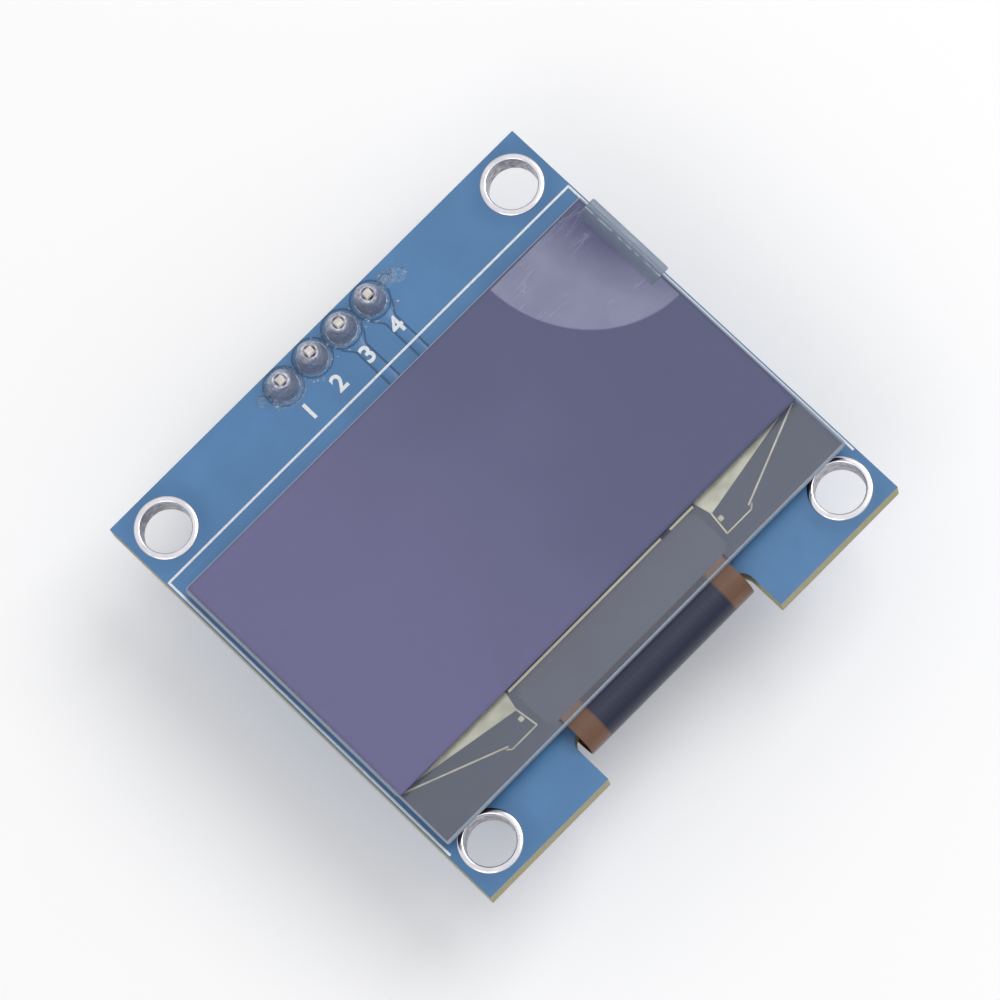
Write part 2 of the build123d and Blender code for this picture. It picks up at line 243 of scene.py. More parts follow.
def face_outwards():
    """Turns all faces of the edited piece outwards."""
    bpy.ops.mesh.select_all(action="SELECT")
    bpy.ops.mesh.normals_make_consistent(inside=False)


def thicken(height):
    """Extrudes the edited sheet straight up or down into a closed plate."""
    bpy.ops.mesh.select_all(action="SELECT")
    bpy.ops.mesh.extrude_region_move(TRANSFORM_OT_translate={"value": (0, 0, height)})
    face_outwards()


def shape_with(piece, kind, **settings):
    """Adds a modifier to a piece and applies it."""
    if piece.mode != "OBJECT":
        bpy.ops.object.mode_set(mode="OBJECT")
    bpy.context.view_layer.objects.active = piece
    modifier = piece.modifiers.new(kind, kind)
    for key, value in settings.items():
        setattr(modifier, key, value)
    bpy.ops.object.modifier_apply(modifier=modifier.name)


def finish_piece(piece, material, smooth=None):
    """Closes a piece: its place goes into its mesh, it gets its finish and it rides on the module."""
    deselect()
    piece.select_set(True)
    bpy.context.view_layer.objects.active = piece
    bpy.ops.object.transform_apply(location=True, rotation=True, scale=True)
    if smooth is not None:
        bpy.ops.object.shade_smooth_by_angle(angle=math.radians(smooth))
    piece.data.materials.clear()
    piece.data.materials.append(material)
    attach(piece, "root")
    return piece


def join_pieces(name, pieces):
    """Joins several parts of one print or one coat into one piece."""
    deselect()
    for part in pieces:
        part.select_set(True)
    bpy.context.view_layer.objects.active = pieces[0]
    bpy.ops.object.join()
    joined = bpy.context.object
    joined.name = name
    joined.data.name = name
    return joined


def turned(name, x, y, profile, segments):
    """A turned piece: a circle carried ring by ring along (radius, height) points and closed on itself."""
    deselect()
    radius, height = profile[0]
    bpy.ops.mesh.primitive_circle_add(vertices=segments, radius=radius, location=(x, y, height))
    piece = start_piece(name)
    for next_radius, next_height in profile[1:] + profile[:1]:
        bpy.ops.mesh.extrude_edges_move(TRANSFORM_OT_translate={"value": (0, 0, next_height - height)})
        growth = next_radius / radius
        bpy.ops.transform.resize(value=(growth, growth, 1), center_override=(x, y, next_height))
        radius, height = next_radius, next_height
    bpy.ops.mesh.select_all(action="SELECT")
    bpy.ops.mesh.remove_doubles(threshold=MM / 1000)
    face_outwards()
    bpy.ops.object.mode_set(mode="OBJECT")
    return piece


def sheet(name, low, high, level, cuts=(1, 1)):
    """A flat sheet between two corners, cut into a grid and opened in edit mode."""
    deselect()
    bpy.ops.mesh.primitive_grid_add(
        x_subdivisions=cuts[0], y_subdivisions=cuts[1], size=1, location=(*((low.xy + high.xy) / 2), level)
    )
    bpy.context.object.scale = (*(high.xy - low.xy), 1)
    return start_piece(name)


def strip(name, start, end, width, level, height, end_width=None):
    """A flat strip from one point of the board to another, with softened upper edges."""
    deselect()
    start, end = Vector(start), Vector(end)
    run = end - start
    bpy.ops.mesh.primitive_plane_add(
        size=1, location=(*((start + end) / 2), level), rotation=(0, 0, math.atan2(run.y, run.x))
    )
    bpy.context.object.scale = (run.length, width, 1)
    piece = start_piece(name)
    if end_width is not None:
        pick(piece, "EDGE", lambda edge: all((v.co.xy - end).length < width for v in edge.verts))
        growth = end_width / width
        bpy.ops.transform.resize(value=(growth, growth, 1), center_override=(*end, level))
    thicken(height)
    top = level + height
    pick(piece, "EDGE", lambda edge: all(abs(v.co.z - top) < abs(height) / 10 for v in edge.verts))
    bpy.ops.mesh.bevel(offset=abs(height) / 3, segments=2)
    bpy.ops.object.mode_set(mode="OBJECT")
    return piece


def route(points, width, level, height):
    """Strips along a bent track, each past its bends and a little higher, so that the corners close."""
    higher = 0.12
    parts = []
    for step, (start, end) in enumerate(zip(points, points[1:])):
        start, end = Vector(start), Vector(end)
        past = (end - start).normalized() * width / 3
        parts.append(strip("run", start - past, end + past, width, level, height * (1 + higher * step)))
    return parts


def terminals(kind, number, axis):
    """A small part's two terminals along the axis: for each its side, its middle and its outer face."""
    low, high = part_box(f"{kind}_{number}")
    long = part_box(f"{kind}_terminals")[1][axis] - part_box(f"{kind}_{PART_NUMBERS[-1]}")[1][axis]
    ends = []
    for side, face in ((-1, low[axis]), (1, high[axis])):
        centre = (low + high) / 2
        centre[axis] = face + side * long / 2
        ends.append((side, centre.xy, face + side * long))
    return ends


def solder_fillet(centre, size, axis, side):
    """A fillet against a part's end: a block with its outer edge hollowed out."""
    deselect()
    bpy.ops.mesh.primitive_cube_add(size=1, location=centre)
    bpy.context.object.scale = size
    piece = start_piece("fillet")
    outer = centre[axis] + side * size[axis] / 2
    lower = centre.z - size.z / 2
    pick(
        piece, "EDGE",
        lambda edge: all(
            abs(v.co[axis] - outer) < CLOSE and abs(v.co.z - lower) < CLOSE for v in edge.verts
        ),
    )
    bpy.ops.mesh.bevel(offset=size[axis] * 0.85, segments=6, profile=0.2)
    face_outwards()
    bpy.ops.object.mode_set(mode="OBJECT")
    return piece


def lift_corner(piece, corner, reach, rise):
    """Raises a sheet smoothly towards its free corner."""
    for vertex in piece.data.vertices:
        away = vertex.co.xy - corner
        share = 1 - min(math.hypot(away.x * LIFT_SQUASH, away.y) / reach, 1)
        vertex.co.z += rise * share * share * (3 - 2 * share)


def dress(node, material, bevel=0.0):
    """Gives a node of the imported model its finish, and softens its cut edges where a width is given."""
    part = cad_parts[node]
    part.data.materials.clear()
    part.data.materials.append(material)
    if bevel:
        weld = part.modifiers.new("Weld", "WELD")
        weld.merge_threshold = MM / 1000
        soft = part.modifiers.new("Bevel", "BEVEL")
        soft.width = bevel
        soft.segments = 2
        soft.limit_method = "ANGLE"
        soft.angle_limit = math.radians(CREASE)


def add_finish(piece, material, belongs):
    """Gives the faces that pass the test a second finish."""
    piece.data.materials.append(material)
    for face in piece.data.polygons:
        face.material_index = int(belongs(face))


# Finishes, with the settings of nodes that mix two colours, tint one colour, or ease a change

MIXED = {"data_type": "RGBA"}
TINTED = {"data_type": "RGBA", "blend_type": "MULTIPLY"}
EASED = {"interpolation_type": "SMOOTHSTEP"}


def add(tree, kind, inputs=None, **settings):
    """Adds a shader node with its settings, and sets its inputs or links them to a socket or a node."""
    node = tree.nodes.new("ShaderNode" + kind)
    for key, value in settings.items():
        setattr(node, key, value)
    for key, value in (inputs or {}).items():
        if isinstance(value, bpy.types.Node):
            value = next(socket for socket in value.outputs if socket.enabled)
        if isinstance(value, bpy.types.NodeSocket):
            tree.links.new(value, node.inputs[key])
        else:
            node.inputs[key].default_value = value
    return node


def start_finish(name):
    """A new material, its node tree and the piece's own coordinates in millimetres."""
    material = bpy.data.materials.new(name)
    material.use_nodes = True
    tree = material.node_tree
    tree.nodes.clear()
    own = add(tree, "TexCoord")
    place = add(tree, "VectorMath", {0: own.outputs["Object"], "Scale": 1 / MM}, operation="SCALE")
    return material, tree, place


def clouded(tree, place, base, size, detail, dim, bright):
    """A colour that wanders between a dimmer and a brighter shade, in clouds of a size in millimetres."""
    cloud = add(tree, "TexNoise", {"Vector": place, "Scale": 1 / size, "Detail": detail})
    shade = add(tree, "MapRange", {"Value": cloud, "To Min": dim, "To Max": bright})
    return add(tree, "Mix", {0: 1.0, 6: base, 7: shade}, **TINTED)


def solder_mask_finish(name, colours):
    """Glossy blue solder mask: darker in the gaps of the copper, there partly by painted shade, with
    layered laminate on its cut edges.
    """
    material, tree, place = start_finish(name)
    split = add(tree, "SeparateXYZ", {0: place})
    x, y = split.outputs["X"], split.outputs["Y"]
    across = add(tree, "Math", {0: x}, operation="ABSOLUTE")
    along = add(tree, "Math", {0: y}, operation="ABSOLUTE")

    # The copper pour fades out round the mounting holes
    hole = middle("mounting_ring_4") / MM
    folded = add(tree, "CombineXYZ", {"X": across, "Y": along})
    from_hole = add(tree, "VectorMath", {0: folded, 1: (hole.x, hole.y, 0)}, operation="DISTANCE")
    pour = add(
        tree, "MapRange",
        {"Value": from_hole, "From Min": 2.2, "From Max": 3.4, "To Min": 0.55, "To Max": 1.0}, **EASED
    )

    # Gaps in the copper: round each pin's land, and along the two tracks that widen to their pins. The ring
    # round each land also stands for the painted shadow round its solder lump
    land_radius, half_gap = 1.28, 0.07
    flare_top, flare_foot, tracks_foot = 14.5, 13.5, 9.0
    pins = [middle(f"header_pin_{number}") / MM for number in PIN_NUMBERS]
    pitch = pins[1].x - pins[0].x
    pair = add(tree, "Math", {0: across, 1: pitch}, operation="SUBTRACT")
    pair_far = add(tree, "Math", {0: pair}, operation="ABSOLUTE")
    off_pin = add(tree, "Math", {0: pair_far, 1: pitch / 2}, operation="SUBTRACT")
    off_axis = add(tree, "Math", {0: off_pin}, operation="ABSOLUTE")
    near_pin = add(tree, "CombineXYZ", {"X": off_axis, "Y": y})
    from_pin = add(tree, "VectorMath", {0: near_pin, 1: (0, pins[0].y, 0)}, operation="DISTANCE")
    half = add(
        tree, "MapRange",
        {"Value": y, "From Min": flare_foot, "From Max": flare_top, "To Min": 0.42, "To Max": 0.95}, **EASED
    )
    land_gap_and_shadow_ring = add(tree, "Math", {0: from_pin, 1: land_radius, 2: half_gap}, operation="COMPARE")
    track_gap = add(tree, "Math", {0: off_axis, 1: half, 2: half_gap}, operation="COMPARE")
    right_half = add(tree, "Math", {0: x, 1: 0.0}, operation="GREATER_THAN")
    below_pin = add(tree, "Math", {0: y, 1: flare_top}, operation="LESS_THAN")
    above_glass = add(tree, "Math", {0: y, 1: tracks_foot}, operation="GREATER_THAN")
    on_right = add(tree, "Math", {0: track_gap, 1: right_half}, operation="MULTIPLY")
    on_run = add(tree, "Math", {0: below_pin, 1: above_glass}, operation="MULTIPLY")
    track = add(tree, "Math", {0: on_right, 1: on_run}, operation="MULTIPLY")
    gap = add(tree, "Math", {0: land_gap_and_shadow_ring, 1: track}, operation="MAXIMUM")
    copper = add(tree, "Math", {0: gap, 1: -1.0, 2: pour}, operation="MULTIPLY_ADD")

    # The mask's thickness wanders over a few millimetres
    drift = add(tree, "TexNoise", {"Vector": place, "Scale": 1 / 4.0, "Detail": 3.0})
    tone = add(tree, "Mix", {0: copper, 6: colours.mask_dark, 7: colours.mask}, **MIXED)
    shade = add(
        tree, "MapRange", {"Value": drift, "From Min": 0.3, "From Max": 0.7, "To Min": 0.9, "To Max": 1.08}
    )
    # Painted shade: the gaps are made darker than bare mask, as if shaded in their sunken grooves
    painted_gap_shade = add(tree, "MapRange", {"Value": gap, "To Min": 1.0, "To Max": 0.7})
    depth = add(tree, "Math", {0: shade, 1: painted_gap_shade}, operation="MULTIPLY")
    mask = add(tree, "Mix", {0: 1.0, 6: tone, 7: depth}, **TINTED)

    # Glass cloth layers about 0.2 mm thick show on the cut edges
    layered = add(tree, "VectorMath", {0: place, 1: (1.5, 1.5, 9.0)}, operation="MULTIPLY")
    edge = clouded(tree, layered, colours.laminate, 1.0, 4.0, dim=0.6, bright=1.25)
    geometry = add(tree, "NewGeometry")
    facing = add(tree, "SeparateXYZ", {0: geometry.outputs["Normal"]})
    flat = add(tree, "Math", {0: facing.outputs["Z"]}, operation="ABSOLUTE")
    is_face = add(tree, "Math", {0: flat, 1: 0.6}, operation="GREATER_THAN")
    surface = add(tree, "Mix", {0: is_face, 6: edge, 7: mask}, **MIXED)
    gloss = add(tree, "MapRange", {"Value": is_face, "To Min": 0.75, "To Max": 0.3})

    # Orange peel of the sprayed mask, about a quarter of a millimetre, sinking into the gaps
    peel = add(tree, "TexNoise", {"Vector": place, "Scale": 1 / 0.25, "Detail": 2.0})
    height = add(tree, "Math", {0: peel, 1: 0.3, 2: copper}, operation="MULTIPLY_ADD")
    relief = add(tree, "Bump", {"Height": height, "Strength": 0.6, "Distance": 0.03 * MM})
    shader = add(
        tree, "BsdfPrincipled", {"Base Color": surface, "Roughness": gloss, "Normal": relief, "IOR": 1.5}
    )
    add(tree, "OutputMaterial", {"Surface": shader})
    return material


def print_finish(name, colours):
    """White epoxy ink: matte, with a slightly patchy coat."""
    material, tree, place = start_finish(name)
    patch = add(tree, "TexNoise", {"Vector": place, "Scale": 1 / 0.2, "Detail": 3.0})
    cover = add(
        tree, "MapRange", {"Value": patch, "From Min": 0.3, "From Max": 0.6, "To Min": 0.86, "To Max": 1.0}
    )
    ink = add(tree, "Mix", {0: 1.0, 6: colours.silk, 7: cover}, **TINTED)
    shader = add(tree, "BsdfPrincipled", {"Base Color": ink, "Roughness": 0.6})
    add(tree, "OutputMaterial", {"Surface": shader})
    return material


def metal_finish(name, base, dark, grain, roughness, relief):
    """Tinned metal: a mottled surface, grain in millimetres, with soft dips of the given relief."""
    material, tree, place = start_finish(name)
    mottle = add(tree, "TexNoise", {"Vector": place, "Scale": 1 / grain, "Detail": 5.0})
    spread = add(tree, "MapRange", {"Value": mottle, "From Min": 0.35, "From Max": 0.7})
    tone = add(tree, "Mix", {0: spread, 6: dark, 7: base}, **MIXED)
    dull, bright = roughness * 1.4, roughness * 0.7
    gloss = add(
        tree, "MapRange",
        {"Value": mottle, "From Min": 0.3, "From Max": 0.7, "To Min": dull, "To Max": bright},
    )
    dips = add(tree, "Bump", {"Height": mottle, "Strength": 0.5, "Distance": relief * MM})
    shader = add(
        tree, "BsdfPrincipled", {"Base Color": tone, "Metallic": 1.0, "Roughness": gloss, "Normal": dips}
    )
    add(tree, "OutputMaterial", {"Surface": shader})
    return material


def moulded_finish(name, base, grain, roughness):
    """Moulded plastic or resin: faint cloudy tone and a fine matt grain, in millimetres."""
    material, tree, place = start_finish(name)
    tone = clouded(tree, place, base, grain * 8, 3.0, dim=0.8, bright=1.2)
    pits = add(tree, "TexNoise", {"Vector": place, "Scale": 1 / grain, "Detail": 2.0})
    relief = add(tree, "Bump", {"Height": pits, "Strength": 0.3, "Distance": 0.02 * MM})
    shader = add(tree, "BsdfPrincipled", {"Base Color": tone, "Roughness": roughness, "Normal": relief})
    add(tree, "OutputMaterial", {"Surface": shader})
    return material


def display_glass_finish(name):
    """Thin clear soda-lime glass: sharp reflections, with a few specks of dust."""
    material, tree, place = start_finish(name)
    dust = add(tree, "TexNoise", {"Vector": place, "Scale": 1 / 0.4, "Detail": 4.0})
    haze = add(
        tree, "MapRange", {"Value": dust, "From Min": 0.62, "From Max": 0.8, "To Min": 0.0, "To Max": 0.1}
    )
    shader = add(
        tree, "BsdfPrincipled",
        {"Base Color": linear("#f4f6f7"), "Roughness": haze, "IOR": 1.5, "Transmission Weight": 1.0},
    )
    add(tree, "OutputMaterial", {"Surface": shader})
    return material


def cut_glass_finish(name):
    """Ground glass edge: frosted and pale grey, streaked along the thickness."""
    material, tree, place = start_finish(name)
    broken = add(tree, "VectorMath", {0: place, 1: (6.0, 6.0, 0.8)}, operation="MULTIPLY")
    streak = add(tree, "TexNoise", {"Vector": broken, "Scale": 1.0, "Detail": 3.0})
    tone = add(tree, "Mix", {0: streak, 6: linear("#7f8a9d"), 7: linear("#a9b4c2")}, **MIXED)
    shader = add(tree, "BsdfPrincipled", {"Base Color": tone, "Roughness": 0.5, "IOR": 1.5})
    add(tree, "OutputMaterial", {"Surface": shader})
    return material


def polarizer_finish(name, colours):
    """Dark polarizer over the unlit pixels: paler and purplish on the left, where a sheen of reflected
    light is painted in, darker and bluer on the right, satin smooth.
    """
    material, tree, place = start_finish(name)
    split = add(tree, "SeparateXYZ", {0: place})
    # Painted sheen: the screen turns from a paler purple on the left to a darker blue on the right, along a
    # wandering line
    drift = add(tree, "TexNoise", {"Vector": place, "Scale": 1 / 9.0, "Detail": 2.0})
    wander = add(tree, "MapRange", {"Value": drift, "To Min": -7.0, "To Max": 7.0})
    moved = add(tree, "Math", {0: split.outputs["X"], 1: wander}, operation="ADD")
    turn = add(tree, "MapRange", {"Value": moved, "From Min": -14.0, "From Max": 14.0}, **EASED)
    tone = add(tree, "Mix", {0: turn, 6: colours.polarizer_left, 7: colours.polarizer_right}, **MIXED)
    shader = add(tree, "BsdfPrincipled", {"Base Color": tone, "Roughness": 0.22, "IOR": 1.49})
    add(tree, "OutputMaterial", {"Surface": shader})
    return material


def clear_film_finish(name, colours, sizes):
    """Clear polyethylene film: barely seen where it clings, milky where air lies under its free corner,
    that milkiness being painted reflection.
    """
    material, tree, place = start_finish(name)
    corner = Vector((FILM_HIGH.x, FILM_HIGH.y, 0)) / MM
    from_corner = add(tree, "VectorMath", {0: place, 1: corner}, operation="SUBTRACT")
    squashed = add(tree, "VectorMath", {0: from_corner, 1: (LIFT_SQUASH, 1, 0)}, operation="MULTIPLY")
    far = add(tree, "VectorMath", {0: squashed}, operation="LENGTH")
    reach = sizes.film_lift_reach / MM
    lifted = add(tree, "MapRange", {"Value": far, "From Min": reach, "From Max": reach - 0.15})

    # The film stands highest beside the tab, where it looks clear, and turns milky as the air gap closes;
    # the milkiness and its paler and darker patches are painted reflection and shade
    split = add(tree, "SeparateXYZ", {0: from_corner})
    past_tab = add(
        tree, "MapRange", {"Value": split.outputs["Y"], "From Min": -2.8, "From Max": -8.8, "To Max": 3.0}
    )
    closing = add(tree, "Math", {0: past_tab, 1: split.outputs["X"]}, operation="SUBTRACT")
    gap = add(
        tree, "MapRange", {"Value": closing, "From Min": 1.1, "From Max": 4.2, "To Min": 0.0, "To Max": 0.2}
    )
    cloud = add(tree, "TexNoise", {"Vector": place, "Scale": 1 / 2.0, "Detail": 3.0})
    uneven = add(
        tree, "MapRange", {"Value": cloud, "From Min": 0.3, "From Max": 0.7, "To Min": 0.85, "To Max": 1.15}
    )
    air_gap_sheen = add(tree, "Math", {0: gap, 1: uneven}, operation="MULTIPLY")
    painted_lift_sheen = add(tree, "Math", {0: air_gap_sheen, 1: lifted, 2: 0.03}, operation="MULTIPLY_ADD")

    # Hair scratches and dust, drawn a little coarser than real so that they show: each scratch follows
    # a level line of a stretched noise, and a second noise breaks it up
    hairs = []
    for turn in (0.5, -1.1):
        aimed = add(
            tree, "Mapping",
            {
                "Vector": place, "Location": (3 * turn, 0, 0), "Rotation": (0, 0, turn),
                "Scale": (0.2, 1.7, 1.0),
            },
        )
        rubbed = add(tree, "TexNoise", {"Vector": aimed, "Scale": 1.0, "Detail": 0.0})
        hairs.append(add(tree, "Math", {0: rubbed, 1: 0.5, 2: 0.005}, operation="COMPARE"))
    either = add(tree, "Math", {0: hairs[0], 1: hairs[1]}, operation="MAXIMUM")
    broken = add(tree, "TexNoise", {"Vector": place, "Scale": 1 / 1.6, "Detail": 1.0})
    kept = add(tree, "MapRange", {"Value": broken, "From Min": 0.5, "From Max": 0.6})
    marks = add(tree, "Math", {0: either, 1: kept}, operation="MULTIPLY")
    grains = add(tree, "TexVoronoi", {"Vector": place, "Scale": 1 / 1.3})
    specks = add(tree, "MapRange", {"Value": grains, "From Min": 0.05, "From Max": 0.03})
    worn = add(tree, "Math", {0: marks, 1: specks}, operation="MAXIMUM")
    shown = add(tree, "MapRange", {"Value": lifted, "To Min": 0.02, "To Max": 0.16})
    cover = add(tree, "Math", {0: worn, 1: shown, 2: painted_lift_sheen}, operation="MULTIPLY_ADD")
    shader = add(
        tree, "BsdfPrincipled", {"Base Color": colours.film, "Roughness": 0.25, "IOR": 1.5, "Alpha": cover}
    )
    add(tree, "OutputMaterial", {"Surface": shader})
    return material


def pull_tab_finish(name, colours):
    """Translucent greenish tape: part see-through, denser along its cut edges, faintly streaked."""
    material, tree, place = start_finish(name)
    split = add(tree, "SeparateXYZ", {0: place})
    x, y = split.outputs["X"], split.outputs["Y"]
    drawn = add(tree, "VectorMath", {0: place, 1: (4.0, 0.6, 1.0)}, operation="MULTIPLY")
    streak = add(tree, "TexNoise", {"Vector": drawn, "Scale": 1.0, "Detail": 5.0})

    # The tape is thin on the film and doubled past its edge, so less and less shows through
    film_edge = FILM_HIGH.x / MM
    thin, full = TAB_LOW.x / MM, film_edge + 0.25
    doubled = add(
        tree, "MapRange", {"Value": x, "From Min": thin, "From Max": full, "To Min": 0.0, "To Max": 0.56}
    )
    uneven = add(tree, "Math", {0: streak, 1: 0.7, 2: 0.65}, operation="MULTIPLY_ADD")
    centre = middle("pull_tab") / MM
    half = (TAB_HIGH - TAB_LOW) / 2 / MM
    rim_width = 0.12
    out_x = add(tree, "Math", {0: x, 1: centre.x}, operation="SUBTRACT")
    off_y = add(tree, "Math", {0: y, 1: centre.y}, operation="SUBTRACT")
    out_y = add(tree, "Math", {0: off_y}, operation="ABSOLUTE")
    rim_x = add(tree, "MapRange", {"Value": out_x, "From Min": half.x - rim_width, "From Max": half.x})
    rim_y = add(tree, "MapRange", {"Value": out_y, "From Min": half.y - rim_width, "From Max": half.y})
    rim = add(tree, "Math", {0: rim_x, 1: rim_y}, operation="MAXIMUM")
    body = add(tree, "Math", {0: rim, 1: 0.4, 2: uneven}, operation="MULTIPLY_ADD")
    dense = add(tree, "Math", {0: doubled, 1: body}, operation="MULTIPLY")

    # The film's cut edge shows through as a thin broken line of painted glints
    under = add(tree, "Math", {0: x, 1: film_edge, 2: 0.05}, operation="COMPARE")
    nicked = add(tree, "TexNoise", {"Vector": place, "Scale": 1 / 0.8, "Detail": 2.0})
    painted_edge_glints = add(tree, "MapRange", {"Value": nicked, "From Min": 0.42, "From Max": 0.56})
    edge = add(tree, "Math", {0: under, 1: painted_edge_glints}, operation="MULTIPLY")
    tone = add(tree, "Mix", {0: edge, 6: colours.tab, 7: linear("#c4ced4")}, **MIXED)
    shader = add(tree, "BsdfPrincipled", {"Base Color": tone, "Roughness": 0.3, "IOR": 1.5, "Alpha": dense})
    add(tree, "OutputMaterial", {"Surface": shader})
    return material


def flex_finish(name, colours):
    """Polyimide flex: amber margins, a dark covered middle and the faint ridges of its conductors."""
    material, tree, place = start_finish(name)
    conductor_pitch = 0.35
    split = add(tree, "SeparateXYZ", {0: place})
    x = split.outputs["X"]
    across = add(tree, "Math", {0: x}, operation="ABSOLUTE")
    covered = add(tree, "MapRange", {"Value": across, "From Min": 5.5, "From Max": 5.3})
    beat = add(tree, "Math", {0: x, 1: 2 * math.pi / conductor_pitch}, operation="MULTIPLY")
    ridge = add(tree, "Math", {0: beat}, operation="SINE")
    lines = add(
        tree, "MapRange",
        {"Value": ridge, "From Min": -0.3, "From Max": 0.3, "To Min": 0.92, "To Max": 1.04},
    )
    amber = clouded(tree, place, colours.amber, 1.5, 3.0, dim=0.75, bright=1.25)
    dark = add(tree, "Mix", {0: 1.0, 6: colours.flex_dark, 7: lines}, **TINTED)
    tone = add(tree, "Mix", {0: covered, 6: amber, 7: dark}, **MIXED)
    relief = add(tree, "Bump", {"Height": ridge, "Strength": 0.03, "Distance": 0.02 * MM})
    shader = add(
        tree, "BsdfPrincipled", {"Base Color": tone, "Roughness": 0.35, "IOR": 1.5, "Normal": relief}
    )
    add(tree, "OutputMaterial", {"Surface": shader})
    return material


def flux_finish(name, tone, cover):
    """Dried flux: thin, pale and patchy, glossy enough to catch the light on its wrinkled skin."""
    material, tree, place = start_finish(name)
    skin = add(tree, "TexNoise", {"Vector": place, "Scale": 1 / 0.3, "Detail": 1.0, "Distortion": 1.5})
    body = add(
        tree, "MapRange",
        {"Value": skin, "From Min": 0.35, "From Max": 0.7, "To Min": cover / 10, "To Max": cover},
    )
    relief = add(tree, "Bump", {"Height": skin, "Strength": 0.6, "Distance": 0.04 * MM})
    shader = add(
        tree, "BsdfPrincipled",
        {"Base Color": tone, "Roughness": 0.08, "IOR": 1.52, "Alpha": body, "Normal": relief},
    )
    add(tree, "OutputMaterial", {"Surface": shader})
    return material


def floor_finish(name, colours):
    """Matt studio floor, pale and even, with the faintest mottle."""
    material, tree, place = start_finish(name)
    tone = clouded(tree, place, colours.floor, 60.0, 2.0, dim=0.985, bright=1.0)

    # Seen directly, in metal or through glass, the floor is a little whiter than it is lit
    path = add(tree, "LightPath")
    mirrored = add(
        tree, "Math", {0: path.outputs["Is Glossy Ray"], 1: path.outputs["Is Transmission Ray"]},
        operation="MAXIMUM",
    )
    seen = add(tree, "Math", {0: mirrored, 1: path.outputs["Is Camera Ray"]}, operation="MAXIMUM")
    whiter = add(tree, "Math", {0: seen, 1: 0.085}, operation="MULTIPLY")
    white = linear("#ffffff")
    shader = add(
        tree, "BsdfPrincipled",
        {"Base Color": tone, "Roughness": 0.9, "Emission Color": white, "Emission Strength": whiter},
    )
    add(tree, "OutputMaterial", {"Surface": shader})
    return material


# Pieces

